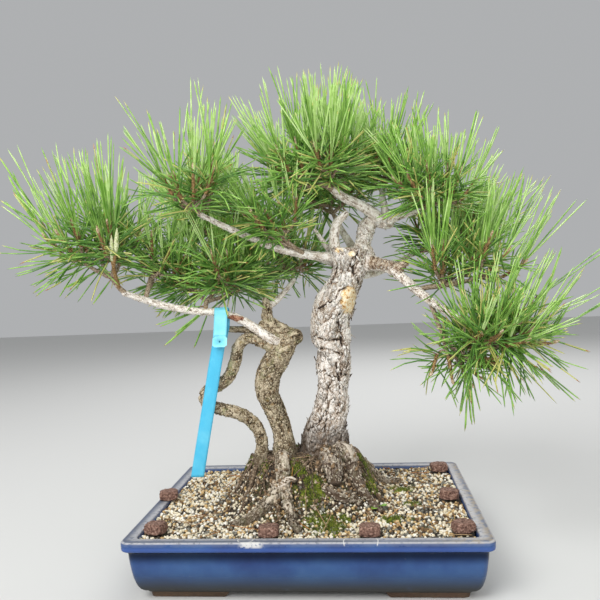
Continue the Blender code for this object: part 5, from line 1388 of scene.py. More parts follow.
# %% Where the masses stand
# Name, then in millimetres the stem's stations and the pad's centre and half size, then the
# number of shoots, their lean and spread, and the needles' size
MASSES = [
    ("far_left_needles",
     [(-193, -54, 309.5, 3), (-201, -55, 317, 2.8), (-210, -52, 328, 2.4), (-220, -48, 338, 2.2)],
     (-214, -46, 348), (40, 28, 10), 4, (-0.14, -0.1, 1.0), 0.75, 1.0),
    ("left_spur_needles",
     [(-174, -49, 302, 2.8), (-172, -44, 314, 2.7), (-172, -34, 326, 2.3)],
     (-168, -20, 332), (14, 14, 4), 2, (0.1, 0.3, 1.0), 0.6, 0.9),
    ("upper_left_needles",
     [(-103.5, -56, 391.5, 2.3), (-109, -59, 397, 2.2), (-114, -60, 402, 2)],
     (-112, -60, 404), (28, 26, 6), 4, (-0.12, -0.12, 1.0), 0.75, 0.97),
    ("inner_left_needles",
     [(4, -6, 345.5, 2.8), (-6, -16, 353, 2.6), (-18, -28, 364, 2.2)],
     (-24, -34, 370), (20, 14, 4), 2, (-0.4, -0.25, 0.9), 0.7, 0.85),
    ("top_needles",
     [(41.5, -9, 416, 4.2), (31, -13, 423, 3.6), (20, -14, 430, 3)],
     (20, -12, 432), (44, 36, 8), 6, (-0.1, -0.02, 1.0), 0.75, 0.93),
    ("top_middle_needles",
     [(95.5, 28.5, 417.5, 2.8), (96, 34, 426, 2.6), (96, 40, 434, 2.2)],
     (94, 42, 436), (24, 24, 5), 3, (0.02, 0.16, 1.0), 0.75, 0.85),
    ("top_right_needles",
     [(135, -3, 390, 2.7), (142, -7, 394, 2.5), (147, -12, 400, 2.1)],
     (148, -14, 402), (28, 24, 5), 4, (-0.04, -0.12, 1.0), 0.75, 0.82),
    ("right_middle_needles",
     [(127, -26, 300, 3.2), (138, -23, 303, 3), (158, -16, 304, 2.7), (172, -12, 308, 2.3)],
     (178, -10, 312), (38, 26, 6), 4, (0.34, -0.05, 1.0), 0.75, 0.97),
    ("right_lower_needles",
     [(162.5, -56, 272.5, 2.8), (172, -63, 266, 2.7), (184, -66, 254, 2.3)],
     (197, -64, 243), (30, 26, 12), 5, (0.7, -0.25, 0.26), 0.75, 0.95),
    ("right_hanging_needles",
     [(139, -35.5, 289, 2.7), (144, -36, 275, 2.5), (150, -40, 256, 2.3), (160, -48, 238, 2)],
     (166, -50, 226), (16, 22, 4), 3, (0.5, -0.15, -0.3), 0.75, 0.82),
    ("centre_left_needles",
     [(-110, -33.5, 286, 2.7), (-111, -22, 297, 2.5), (-106, -6, 306, 2.2)],
     (-96, 10, 314), (46, 26, 6), 5, (-0.1, 0.15, 1.0), 0.85, 0.95),
    ("back_middle_needles",
     [(-18, 38, 316.5, 2.6), (-18, 52, 326, 2.4), (-24, 68, 332, 2.1)],
     (-26, 80, 334), (30, 18, 6), 3, (-0.05, 0.6, 0.6), 0.75, 0.85),
    ("back_left_needles",
     [(-71, 77, 370, 2.9), (-84, 80, 376, 2.6), (-98, 84, 382, 2.2)],
     (-104, 84, 388), (36, 26, 8), 4, (-0.35, 0.25, 1.0), 0.75, 0.9),
    ("back_centre_needles",
     [(39, 62.5, 388, 2.9), (34, 68, 400, 2.6), (30, 76, 410, 2.2)],
     (28, 80, 414), (34, 20, 6), 4, (-0.05, 0.35, 0.95), 0.75, 0.9),
    ("back_right_needles",
     [(130, 80.5, 343.5, 2.8), (144, 84, 348, 2.6), (162, 86, 354, 2.2)],
     (178, 84, 358), (34, 24, 6), 4, (0.34, 0.28, 1.0), 0.75, 0.9),
]
MASSES = [(name, metres(stem), *metres((centre, half)), *habit)
          for name, stem, centre, half, *habit in MASSES]
print("masses:", len(MASSES))

# %% Where the shoots stand
GOLDEN = math.pi * (3.0 - math.sqrt(5.0))
MODEL_SEED = 11
PAD_START = 0.35
PAD_JITTER = 0.3
TILT_JITTER = 0.15
TWIG_FROM = 0.55
TWIG_BEND_AT = 0.55
TWIG_SAG = 0.10
TWIG_RADII = (0.0026, 0.0023, 0.0020)
SHOOT_LENGTH = 0.034
SIDE_SHOOTS = 2
SIDE_SPLAY = (0.65, 1.10)
SIDE_REACH = (0.014, 0.025)
SIDE_RADII = (0.0019, 0.0017, 0.0016)
SIDE_SHARE = 0.82


def model_shoots(stem, centre, half, count, lean, spread, chance):
    """The model's shoots in one mass: base, axis and the twig that carries each."""
    made = []
    turn = chance.uniform(0, 2 * math.pi)
    for index in range(count):
        radial = math.sqrt((index + PAD_START) / count)
        angle = turn + index * GOLDEN
        out = np.array((math.cos(angle), math.sin(angle), 0.0)) * radial
        dome = 1.0 - radial ** 2 + chance.uniform(-PAD_JITTER, PAD_JITTER)
        base = np.array(centre) + out * half + np.array((0.0, 0.0, dome * half[2]))
        tilt = np.array([chance.uniform(-TILT_JITTER, TILT_JITTER) for _ in range(3)])
        axis = unit(np.array(lean) + out * spread + tilt)
        share = TWIG_FROM + (1.0 - TWIG_FROM) * (1.0 - radial)
        start = np.array(stem[min(len(stem) - 1, int(len(stem) * share))])
        reach = base - start[:3]
        middle = start[:3] + TWIG_BEND_AT * reach - TWIG_SAG * np.linalg.norm(reach) * axis
        twig = [(*start[:3], min(start[3], TWIG_RADII[0])), (*middle, TWIG_RADII[1]),
                (*base, TWIG_RADII[2])]
        made.append((base, axis, twig))
    return made


def side_shoots(base, axis, size, dealer):
    """Shoots of the same whorl: each leaves below the main one and curves up beside it."""
    made = []
    first = dealer.uniform(0, 2 * math.pi)
    across = unit(np.cross(axis, (0.3, 1.0, 0.2)))
    for index in range(SIDE_SHOOTS):
        turn = first + 2 * math.pi * index / SIDE_SHOOTS + dealer.uniform(-0.5, 0.5)
        sideways = math.cos(turn) * across + math.sin(turn) * np.cross(axis, across)
        splay = dealer.uniform(*SIDE_SPLAY)
        start = base - axis * dealer.uniform(0.002, 0.010)
        reach = size * dealer.uniform(*SIDE_REACH)
        end = start + reach * (math.cos(splay) * axis + math.sin(splay) * sideways)
        side_axis = unit(axis + 0.38 * sideways + np.array((0.0, 0.0, 0.22)) * max(axis[2], 0.0))
        middle = start + 0.6 * (end - start) - 0.10 * reach * axis
        twig = [(*place, radius) for place, radius in zip((start, middle, end), SIDE_RADII)]
        made.append((end, side_axis, twig))
    return made


chance = random.Random(MODEL_SEED)
dealer = np.random.default_rng(57)
grown = {}
for name, stem, centre, half, count, lean, spread, size in MASSES:
    main = model_shoots(stem, centre, half, count, lean, spread, chance)
    whorls = [(*shoot, 1.0) for shoot in main]
    for base, axis, _ in main:
        whorls += [(*shoot, SIDE_SHARE) for shoot in side_shoots(base, axis, size, dealer)]
    grown[name] = whorls
print("shoots:", sum(len(whorls) for whorls in grown.values()))

# %% [markdown]
# ### Needles
# Black pine needles grow in pairs from one papery sheath. This year's stand like a brush
# along the new shoot, and last year's, shorter and darker, spread out flat below it. A
# real needle is about 1.5 mm thick, so it can be drawn at nearly its own size: a tapered
# three-sided rod with a slight curve.

# %% Rods and tubes in bulk
NEEDLE_STATIONS = np.array([0.0, 0.075, 0.36, 0.66, 0.93])
NEEDLE_TAPER = np.array([0.62, 0.85, 1.0, 1.0, 0.80])
NEEDLE_RADIUS = 0.00088


def rods(roots, directions, lengths, bends, radii):
    """Curved three-sided needles: 16 points and 28 triangles in each."""
    helper = np.where(np.abs(directions[:, 2:3]) < 0.9, [[0.0, 0.0, 1.0]], [[1.0, 0.0, 0.0]])
    side = np.cross(directions, helper)
    side /= np.linalg.norm(side, axis=1)[:, None]
    over = np.cross(directions, side)
    rings = []
    for station, taper in zip(NEEDLE_STATIONS, NEEDLE_TAPER):
        centre = roots + lengths[:, None] * (directions * station + bends * station ** 2)
        for turn in THIRDS:
            out = math.cos(turn) * side + math.sin(turn) * over
            rings.append(centre + out * (radii * taper)[:, None])
    rings.append(roots + lengths[:, None] * (directions + bends))
    return np.stack(rings, axis=1)


rod_tip = [(12, 13, 15), (13, 14, 15), (14, 12, 15)]
rod_faces = np.concatenate([fan(0, 3, flipped=True), bands(5, 3), rod_tip])
rod_parts = np.zeros(len(rod_faces), int)
for row, face in enumerate(rod_faces):
    rod_parts[row] = 0 if min(face) < 3 else 1 if min(face) < 9 else 2 if min(face) < 12 else 3
print("triangles in one needle:", len(rod_faces))

# %% Needles' colours
def leaf(name, light, dark, roughness=0.36):
    """Waxy needle skin: slow changes of green along it and a soft sheen."""
    made, tree, shader = new_material(name, Roughness=roughness, IOR=1.45)
    place = add_node(tree, "place")
    shade = add_node(tree, "noise", place, per_mm(11.0), 3.0)
    green = add_node(tree, "ramp", shade, stops=[(0.36, dark), (0.64, light)])
    ridges = add_node(tree, "bump", add_node(tree, "noise", place, per_mm(0.8), 2.0), 0.0002, 0.4)
    link(shader, Base_Color=green, Normal=ridges)
    return made


LEAVES = [
    leaf("needle_new_light", "#CFE99F", "#A9D36B"), leaf("needle_new", "#A6D068", "#7CAE43"),
    leaf("needle_old", "#8FB95A", "#64933A"), leaf("needle_old_deep", "#6B9A47", "#4A792D"),
    leaf("needle_yellowing", "#D6D488", "#B3B65A"), leaf("needle_dead", "#C98D4E", "#9A6230", 0.6),
    leaf("needle_sheath", "#B79B74", "#86694A", 0.8),
]
NEW_LIGHT, NEW, OLD, OLD_DEEP, YELLOWING, DEAD, SHEATH = range(len(LEAVES))
print("needle colours:", len(LEAVES))

# %% Room for needles
def segment_gaps(start, end, lows, highs):
    """Shortest distances from one segment to many others."""
    u = end - start
    v = highs - lows
    w = start - lows
    a = u.dot(u)
    b = v @ u
    c = np.einsum("ij,ij->i", v, v)
    d = w @ u
    e = np.einsum("ij,ij->i", v, w)
    s = np.clip((b * e - c * d) / np.maximum(a * c - b * b, 1e-12), 0.0, 1.0)
    t = np.clip((b * s + e) / np.maximum(c, 1e-12), 0.0, 1.0)
    s = np.clip((b * t - d) / a, 0.0, 1.0)
    return np.linalg.norm(start + s[:, None] * u - lows - t[:, None] * v, axis=1)


LABEL_LINE = metres([(-125.5, -43, 101), (-107.5, -40.2, 190), (-95, -38, 252), (-92.5, -37, 274),
                     (-92, -29, 291.3), (-92.5, -23.5, 270)])
LABEL_WIDTH = 0.015
solid_limbs = [stations for name, stations in STEMS.items() if name != "stem_rear"]
solid_limbs += [metres(rows) for _, _, _, rows in LIMBS]
blocks = []
for stations in solid_limbs:
    for low, high in zip(stations, stations[1:]):
        blocks.append((*low[:3], *high[:3], max(low[3], high[3]) + 0.001))
for low, high in zip(LABEL_LINE, LABEL_LINE[1:]):
    blocks.append((*low, *high, LABEL_WIDTH / 2 + 0.001))
blocks = np.array(blocks)
print("straight pieces that needles keep clear of:", len(blocks))

# %% Pairs of needles
YELLOW_NEW = 0.015
YELLOW_OLD = 0.09
BARE_START = 0.16


def needle_group(base, axis, size, count, low, high, angles, length, lift, dealer):
    """Pairs of needles around a stretch of shoot: roots, directions and lengths."""
    across = unit(np.cross(axis, (0.2, 1.0, 0.3)))
    over = np.cross(axis, across)
    share = (np.arange(count) + dealer.uniform(0, 1, count)) / count
    turn = np.arange(count) * GOLDEN + dealer.uniform(0, 2 * math.pi) + dealer.uniform(-0.3, 0.3, count)
    out = np.cos(turn)[:, None] * across + np.sin(turn)[:, None] * over
    along = low + (high - low) * share
    slant = angles[0] + (angles[1] - angles[0]) * share ** 0.8 + dealer.normal(0, 0.12, count)
    direction = np.cos(slant)[:, None] * axis + np.sin(slant)[:, None] * out
    direction[:, 2] += lift * dealer.uniform(0.15, 1.0, count)
    direction /= np.linalg.norm(direction, axis=1)[:, None]
    root = base + along[:, None] * axis + 0.0012 * out
    part = np.cross(direction, dealer.normal(size=(count, 3)))
    part /= np.linalg.norm(part, axis=1)[:, None]
    spread = dealer.uniform(0.015, 0.055, count)[:, None]
    pairs = np.stack([direction + spread * part, direction - spread * part], axis=1).reshape(-1, 3)
    pairs /= np.linalg.norm(pairs, axis=1)[:, None]
    wanted = np.repeat(size * dealer.uniform(*length, count), 2) * dealer.uniform(0.95, 1.0, 2 * count)
    return np.repeat(root, 2, axis=0), pairs, wanted


def within_reach(roots, directions, lengths, low, high):
    """Lengths cut to where each needle would leave the box of the model's mass."""
    with np.errstate(divide="ignore"):
        room = np.where(directions > 0, (high - roots) / directions, (low - roots) / directions)
    return np.minimum(lengths, room.min(axis=1))


def clear_of_limbs(roots, ends):
    """Which needles miss every trunk, bough and the label, but for their first stretch."""
    kept = np.ones(len(roots), bool)
    for row, (root, end) in enumerate(zip(roots, ends)):
        start = root + BARE_START * (end - root)
        kept[row] = (segment_gaps(start, end, blocks[:, :3], blocks[:, 3:6]) > blocks[:, 6]).all()
    return kept


def coloured(group, fresh, count, dealer):
    """Colours for the sheath, body, outer part and tip of each needle."""
    body = (NEW_LIGHT if fresh else NEW) if group == "new" else (OLD if fresh else OLD_DEEP)
    luck = dealer.uniform(0, 1, count)
    bodies = np.where(luck < 0.34, body + 1 if body < OLD_DEEP else OLD, body)
    bodies[luck < 0.10] = OLD if group == "new" else YELLOWING
    outer = np.where(bodies == OLD_DEEP, OLD, np.where(bodies == OLD, NEW, NEW_LIGHT))
    outer[(bodies == NEW) & (luck > 0.7)] = NEW
    outer[bodies == YELLOWING] = YELLOWING
    tips = outer.copy()
    yellow = luck > 1 - (YELLOW_NEW if group == "new" else YELLOW_OLD)
    outer[yellow] = YELLOWING
    tips[yellow | (dealer.uniform(size=count) < 0.25)] = YELLOWING
    tips[yellow & (dealer.uniform(size=count) < 0.5)] = DEAD
    parts = np.stack([np.full(count, SHEATH), bodies, outer, tips], axis=1)
    return parts[:, rod_parts].ravel()


# %% Needles on every shoot
NEW_PAIRS = 13
OLD_PAIRS = 19
NEW_LENGTH = (0.062, 0.106)
OLD_LENGTH = (0.038, 0.070)
NEW_ANGLES = (0.50, 0.07)
OLD_ANGLES = (1.75, 0.85)
NEW_FROM = 0.006
OLD_AROUND = 0.014
REACH_SPARE = 0.006
NEW_LIMP = 0.035
OLD_LIMP = 0.095
SHORTEST_KEPT = 0.6
FRESH_SHARE = 0.6

# In each mass: the share of new and of old needles, how far new and old ones turn up, and
# the length of new ones
FULLNESS = {
    "far_left_needles": (0.54, 0.85, 0.6, 0.10, 0.98),
    "left_spur_needles": (0.45, 0.80, 0.8, 0.10, 1.0),
    "upper_left_needles": (0.34, 0.56, 0.7, 0.14, 0.98),
    "inner_left_needles": (0.50, 1.00, 0.6, 0.10, 1.0),
    "top_needles": (0.74, 0.90, 0.6, 0.10, 0.93),
    "top_middle_needles": (0.60, 0.85, 0.6, 0.10, 0.92),
    "top_right_needles": (0.60, 0.90, 0.6, 0.10, 0.86),
    "right_middle_needles": (0.60, 0.62, 1.1, 0.20, 1.08),
    "right_lower_needles": (0.20, 0.98, 1.8, 0.50, 0.96),
    "right_hanging_needles": (0.0, 0.60, 0.0, 0.60, 1.0),
    "centre_left_needles": (0.70, 1.50, 0.6, 0.10, 1.0),
    "back_middle_needles": (0.70, 1.05, 0.6, 0.10, 1.0),
    "back_left_needles": (0.62, 1.00, 0.6, 0.10, 1.0),
    "back_centre_needles": (0.70, 1.00, 0.6, 0.10, 0.93),
    "back_right_needles": (0.58, 0.95, 0.7, 0.10, 0.88),
}

dealer = np.random.default_rng(91)
needle_count = 0
for name, *_, size in MASSES:
    low, high = [np.array(corner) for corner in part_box(name)]
    low, high = low - REACH_SPARE, high + REACH_SPARE
    new_share, old_share, new_lift, old_lift, stretch = FULLNESS[name]
    sprays = Batch()
    for base, axis, _, share in grown[name]:
        new_size = size * (0.5 + 0.5 * share) * stretch
        new = needle_group(base, axis, new_size, round(NEW_PAIRS * share * new_share), NEW_FROM,
                           SHOOT_LENGTH * share, NEW_ANGLES, NEW_LENGTH, new_lift, dealer)
        old = needle_group(base, axis, size, round(OLD_PAIRS * share * old_share), -OLD_AROUND,
                           OLD_AROUND, OLD_ANGLES, OLD_LENGTH, old_lift, dealer)
        fresh = dealer.uniform() < FRESH_SHARE
        for group, (roots, directions, lengths) in (("new", new), ("old", old)):
            limp = NEW_LIMP if group == "new" else OLD_LIMP
            bends = dealer.normal(0, limp, (len(roots), 3))
            bends[:, 2] += 0.03 if group == "new" else dealer.uniform(-0.20, 0.16)
            fitting = within_reach(roots, directions + bends, lengths, low, high)
            kept = fitting > SHORTEST_KEPT * lengths
            kept &= clear_of_limbs(roots, roots + directions * fitting[:, None])
            count = kept.sum()
            if not count:
                continue
            radii = NEEDLE_RADIUS * dealer.uniform(0.85, 1.1, count)
            shapes = rods(roots[kept], directions[kept], fitting[kept], bends[kept], radii)
            sprays.add_many(shapes, rod_faces, coloured(group, fresh, count, dealer))
            needle_count += count
    new_piece(name.replace("needles", "sprays"), sprays, LEAVES, [name])
print("needles:", needle_count)

# %% [markdown]
# ### Wood under the needles
# Each mass hangs on one stem, with a twig to every shoot. A shoot's own wood is orange-brown
# and rough with the stubs of old scales. At its tip sit pale pointed buds, and here and
# there one has already stretched into a candle.

# %% Wood's tubes and finishes
TWIG_STEP = 0.0025
TWIG_SIDES = 7
STEM_SIDES = 9
STEM_KNOBS = 0.07
TWIG_KNOBS = 0.13
SHOOT_STEP = 0.0018
SHOOT_KNOBS = 0.20


def tube(stations, sides, step, knobs, seed):
    """A bent tube for a batch: points and triangles, with knobs as a share of its radius."""
    route = smooth_route(stations, step)
    frames = ring_frames(route)
    angle = 2 * math.pi * np.arange(sides) / sides
    out = outward(frames, angle)
    rough = np.random.default_rng(seed).uniform(-knobs, knobs, (len(route), sides))
    points = route[:, None, :3] + out * (route[:, 3, None] * (1 + rough))[:, :, None]
    return points.reshape(-1, 3), closed_tube(len(route), sides)


twig_bark = mottled(
    "twig_bark", [(0.34, "#5C4938"), (0.50, "#96826B"), (0.64, "#BDAE9A")], 2.0, 0.5)
shoot_bark = mottled(
    "shoot_scales", [(0.34, "#5E4628"), (0.50, "#8F6E42"), (0.66, "#B99A6C")], 1.6, 0.4)
bud_skin = mottled(
    "winter_bud", [(0.36, "#8E6B48"), (0.52, "#BFA986"), (0.68, "#DDD2BE")], 1.4, 0.2,
    Roughness=0.7)
candle_skin = mottled(
    "candle_skin", [(0.36, "#9DAA62"), (0.50, "#CBD0A0"), (0.66, "#E9E5CC")], 1.8, 0.3,
    Roughness=0.7)

# %% Twigs and scaly shoots
SHOOT_SCALES = 16
SCALE_HALF = 0.0009
SCALE_LONG = 0.0030
SCALE_OUT = 0.0016
dealer = np.random.default_rng(73)
for name, stem, *_, size in MASSES:
    wood = Batch()
    wood.add(*tube(stem, STEM_SIDES, TWIG_STEP, STEM_KNOBS, 1), 0)
    for row, (base, axis, twig, share) in enumerate(grown[name]):
        wood.add(*tube(twig, TWIG_SIDES, TWIG_STEP, TWIG_KNOBS, row), 0)
        length = SHOOT_LENGTH * share * size
        end = base + axis * length
        middle = base + 0.5 * (end - base)
        shoot = [(*base, 0.0021 * share), (*middle, 0.0019 * share), (*end, 0.0014 * share)]
        wood.add(*tube(shoot, TWIG_SIDES, SHOOT_STEP, SHOOT_KNOBS, row + 500), 1)
        across = unit(np.cross(axis, (0.2, 1.0, 0.3)))
        over = np.cross(axis, across)
        for scale in range(SHOOT_SCALES):
            turn = scale * GOLDEN
            out = math.cos(turn) * across + math.sin(turn) * over
            aside = np.cross(axis, out)
            foot = base + axis * length * (scale / SHOOT_SCALES) ** 1.5 + SCALE_OUT * out
            tip = foot + SCALE_LONG * axis + SCALE_OUT * out
            left, right = foot - SCALE_HALF * aside, foot + SCALE_HALF * aside
            scale_points = [left, right, foot - 0.0006 * out, tip]
            wood.add(scale_points, [(0, 1, 3), (1, 2, 3), (2, 0, 3), (0, 2, 1)], 1)
    new_piece(name.replace("needles", "twigs"), wood, [twig_bark, shoot_bark])

# %% Buds and candles
CANDLE_SHARE = 0.07
BUD_LENGTH = (0.006, 0.010)
CANDLE_LENGTH = (0.016, 0.022)
BUD_RADIUS = 0.0019
CANDLE_RADIUS = 0.0027
BUD_SHAPE = [(0.0, 0.55), (0.18, 0.90), (0.42, 1.0), (0.68, 0.78), (0.88, 0.42), (1.0, 0.08)]
CANDLE_TWIGS = [metres(ends) for ends in [
    [(-200.5, -55, 316.5, 2.2), (-199.5, -68, 330, 2), (-197, -81, 346, 1.8)],
    [(-198.5, -75, 338, 1.7), (-194, -82, 348, 1.6), (-191.2, -84.5, 354.5, 1.5)],
]]
CANDLES = [metres(ends) for ends in [
    [(-197, -81, 345.5), (-195, -85, 373)], [(-191.2, -84.5, 354), (-188, -86, 380.3)],
]]


def bud(foot, axis, length, radius, seed):
    """A pointed bud or candle: a short tube whose radius follows a bud's shape."""
    stations = [(*(foot + axis * length * along), radius * wide) for along, wide in BUD_SHAPE]
    return tube(stations, 7, length / 9, 0.06, seed)


dealer = np.random.default_rng(29)
buds = Batch()
for name, *_, size in MASSES:
    for row, (base, axis, _, share) in enumerate(grown[name]):
        top = base + axis * SHOOT_LENGTH * share * size
        stretched = dealer.uniform() < CANDLE_SHARE
        length = dealer.uniform(*(CANDLE_LENGTH if stretched else BUD_LENGTH))
        upright = unit(axis + np.array((0.0, 0.0, 0.4)))
        made = bud(top - 0.001 * axis, upright, length, BUD_RADIUS, row)
        buds.add(*made, 1 if stretched else 0)
for row, (low, high) in enumerate(CANDLES):
    reach = np.array(high) - np.array(low)
    buds.add(*bud(np.array(low), unit(reach), np.linalg.norm(reach), CANDLE_RADIUS, row), 1)
    buds.add(*tube(CANDLE_TWIGS[row], TWIG_SIDES, SHOOT_STEP, SHOOT_KNOBS, row + 700), 2)
new_piece("winter_buds", buds, [bud_skin, candle_skin, shoot_bark])
print("buds:", sum(len(whorls) for whorls in grown.values()) + len(CANDLES))

# %% [markdown]
# ### Stray needles
# A few needles stand far out of the crown in the photo and give it its widest reach.
# Others have fallen, and lie brown or straw-coloured on the soil.

# %% Stray and fallen needles
# Foot and tip of each pair, in millimetres
STRAYS = [metres(ends) for ends in [
    [(-285, -48, 390), (-334.1, -50, 472.7)], [(-287, -48, 389), (-336.9, -50, 422.1)],
    [(244, -56, 286), (337, -62, 347)], [(248, -56, 244), (337, -62, 297)],
    [(175, -50, 208), (170, -52, 150)], [(176, -49, 210), (180, -52, 155)],
    [(178, -50, 216), (184, -53, 171)], [(173, -48, 208), (168, -50, 169)],
    [(172, -49, 210), (162, -50, 184)], [(175, -52, 206), (174, -56, 158)],
    [(250, -50, 214), (286, -52, 180)], [(245, -50, 218), (270, -52, 192)],
    [(-250, -50, 350), (-300, -52, 312)], [(-237, -48, 347), (-288, -50, 333)],
    [(-224, -50, 338), (-264, -52, 318)], [(-213, -50, 326), (-232, -52, 300)],
    [(-108, -34, 290), (-156, -38, 249)], [(-108, -35, 291), (-148, -40, 261)],
    [(-110, -32, 291), (-167, -34, 272)], [(-112, -33, 292), (-172, -30, 288)],
    [(-106, -30, 290), (-128, -26, 243)], [(181.5, -106, 256), (185, -186, 272)],
    [(195, -117, 256), (205, -191, 283)], [(219, -110, 248), (240, -178, 264)],
    [(199, -99, 264), (206, -176, 296)],
]]
STRAY_RADIUS = 0.0009
FALLEN = 56
FALLEN_RADIUS = 0.0005
FALLEN_BROWN = 0.3
GROUND_HALF = (0.164, 0.118)
dealer = np.random.default_rng(64)
strays = Batch()
for low, high in STRAYS:
    roots = np.repeat([low], 2, axis=0) + dealer.normal(0, 0.0008, (2, 3))
    reach = np.array(high) - roots + dealer.normal(0, 0.0022, (2, 3))
    lengths = np.linalg.norm(reach, axis=1)
    bends = dealer.normal(0, 0.01, (2, 3)) + np.array((0.0, 0.0, 0.03))
    shapes = rods(roots, reach / lengths[:, None] - bends, lengths, bends, np.full(2, STRAY_RADIUS))
    strays.add_many(shapes, rod_faces, np.tile(np.array([SHEATH, OLD, NEW, YELLOWING])[rod_parts], 2))
x = dealer.uniform(-0.155, 0.150, FALLEN)
y = dealer.uniform(-0.118, 0.112, FALLEN)
turn = dealer.uniform(0, 2 * math.pi, FALLEN)
flat = np.column_stack([np.cos(turn), np.sin(turn)]) * dealer.uniform(0.018, 0.045, FALLEN)[:, None]
tip_x = np.clip(x + flat[:, 0], -GROUND_HALF[0], GROUND_HALF[0])
tip_y = np.clip(y + flat[:, 1], -GROUND_HALF[1], GROUND_HALF[1])
low = np.column_stack([x, y, soil_height(x, y) + 0.0024])
high = np.column_stack([tip_x, tip_y, soil_height(tip_x, tip_y) + 0.0028])
reach = high - low
lengths = np.linalg.norm(reach, axis=1)
bends = dealer.normal(0, 0.02, (FALLEN, 3))
shapes = rods(low, reach / lengths[:, None], lengths, bends, np.full(FALLEN, FALLEN_RADIUS))
browned = np.where(dealer.uniform(size=FALLEN) < FALLEN_BROWN, DEAD, SHEATH)
finish = np.stack([np.full(FALLEN, SHEATH), browned, browned, browned], axis=1)
strays.add_many(shapes, rod_faces, finish[:, rod_parts].ravel())
new_piece("stray_needles", strays, LEAVES)
print("stray pairs and fallen needles:", len(STRAYS), FALLEN)

# %% [markdown]
# ### Root tangle
# Under the trunks the old root ball stands bare: short knotted roots run down its flanks
# and a web of thin ones spreads over the grit. Each starts at a trunk's foot and walks
# downhill, a little to one side or the other at every step.

# %% Root tangle
# Centre and radius of each trunk's foot, and how many roots start there
ROOT_FEET = [((0.018, 0.016), 0.026, 40), ((-0.031, -0.006), 0.014, 24), ((-0.058, -0.013), 0.009, 10),
             ((-0.022, 0.018), 0.010, 6)]
ROOT_STRIDE = 0.0068
ROOT_STEP = 0.0022
ROOT_KNOBS = 0.16
ROOM_FOR_ROOTS = (0.160, 0.116)
THIN_ROOTS = (0.0005, 0.0013)
KNOTTED_ROOTS = (0.0018, 0.0034)
dealer = np.random.default_rng(82)
tangle = Batch()
count = 0
for (foot_x, foot_y), foot_radius, roots_here in ROOT_FEET:
    for index in range(roots_here):
        knotted = index % 3 == 0
        radius = dealer.uniform(*(KNOTTED_ROOTS if knotted else THIN_ROOTS))
        turn = 2 * math.pi * (index + dealer.uniform(0, 0.9)) / roots_here
        heading = turn
        spot = np.array((foot_x, foot_y)) + foot_radius * np.array((math.cos(turn), math.sin(turn)))
        steps = int(dealer.integers(4, 7) if knotted else dealer.integers(7, 15))
        stations = []
        for step in range(steps):
            thick = radius * (1 - 0.75 * step / steps)
            stations.append((*spot, float(soil_height(*spot)) + 0.30 * thick + 0.0004, thick))
            heading += dealer.normal(0, 0.33) - 0.12 * math.sin(heading - turn)
            spot = spot + ROOT_STRIDE * np.array((math.cos(heading), math.sin(heading)))
            spot = np.clip(spot, -np.array(ROOM_FOR_ROOTS), ROOM_FOR_ROOTS)
        stations.append((*spot, float(soil_height(*spot)) - 0.0015, 0.3 * radius))
        tangle.add(*tube(stations, 8 if knotted else 6, ROOT_STEP, ROOT_KNOBS, 900 + count))
        count += 1
dead_root = mottled("old_root", [
    (0.32, "#241B13"), (0.48, "#594736"), (0.62, "#8F7C65"), (0.74, "#BDAE98")], 2.0, 0.8)
new_piece("root_tangle", tangle, [dead_root])
print("roots in the tangle:", count)

# %% [markdown]
# ## Feed cakes
# The dark lumps along the rim are pressed rapeseed meal, which feeds the plant as it
# crumbles. Each is a ball pushed out to a rounded block, then cracked and pitted by noise,
# and it stands where the model's cake stands.

# %% Feed cakes
# Degrees that each cake is turned by
CAKE_TURNS = {"cake_left_back": 12, "cake_left_front": -8, "cake_front_left": 4, "cake_front_right": -3,
              "cake_right_front": 20, "cake_right_middle": -14, "cake_right_back": 9}
CAKE_SIZE = (0.021, 0.017, 0.011)
CAKE_SQUARENESS = 1.38
CAKE_FLOOR = -0.42
cake_meal = mottled("pressed_meal", [
    (0.28, "#281A15"), (0.42, "#5C4036"), (0.56, "#8A6A5C"), (0.72, "#B89C8C")], 2.4, 0.9,
    Roughness=0.95)
ball, ball_faces = ball_mesh(4)
for node, turn in CAKE_TURNS.items():
    low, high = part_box(node)
    middle = (low + high) / 2
    seed = Vector((turn * 3.1, len(node) * 1.3, turn * 0.7))
    spin = Matrix.Rotation(math.radians(turn), 3, "Z")
    points = []
    for place in ball:
        block = Vector([math.copysign(min(abs(value) * CAKE_SQUARENESS, 0.5), value) for value in place])
        distances, _ = noise.voronoi(block * 3.2 + seed)
        crack = 1 - ramp(distances[1] - distances[0], 0.0, 0.10)
        crumbs = noise.fractal(block * 7.0 + seed, 0.7, 2.0, 4)
        block *= 0.97 - 0.10 * crack + 0.06 * crumbs + 0.05 * noise.noise(block * 2.0 + seed)
        stretch = zip((block.x, block.y, max(block.z, CAKE_FLOOR)), CAKE_SIZE)
        points.append(middle + spin @ Vector([value * size for value, size in stretch]))
    cake = Batch()
    cake.add(points, ball_faces)
    new_piece(node + "_meal", cake, [cake_meal], [node])

# %% [markdown]
# ## Label
# A nursery ties a soft plastic strip round a bough and leaves its long end to hang. The
# strip is drawn along the same route as the model's, 0.5 mm thick. Its short tail comes
# over the bough to the front, flares out a little and has a small hole.

# %% Label
LABEL_OVER = (-0.0920, -0.0290, 0.2835)
LABEL_BEND = 0.0056
LABEL_HANG = metres([(-125.5, -43, 101), (-116.8, -42, 144), (-107.5, -40.2, 190), (-101, -39, 223),
                     (-95, -38, 252), (-92.5, -37, 274)])
LABEL_BACK = metres([(-92.5, -23.5, 270), (-93.2, -31.5, 260), (-94, -35.5, 252)])
LABEL_TAIL = metres([(-92.2, -38.5, 274.5), (-92.8, -40, 264), (-93, -42.5, 257.5), (-92.5, -47, 248)])
STRIP_THICK = 0.0005
STRIP_ACROSS = 6


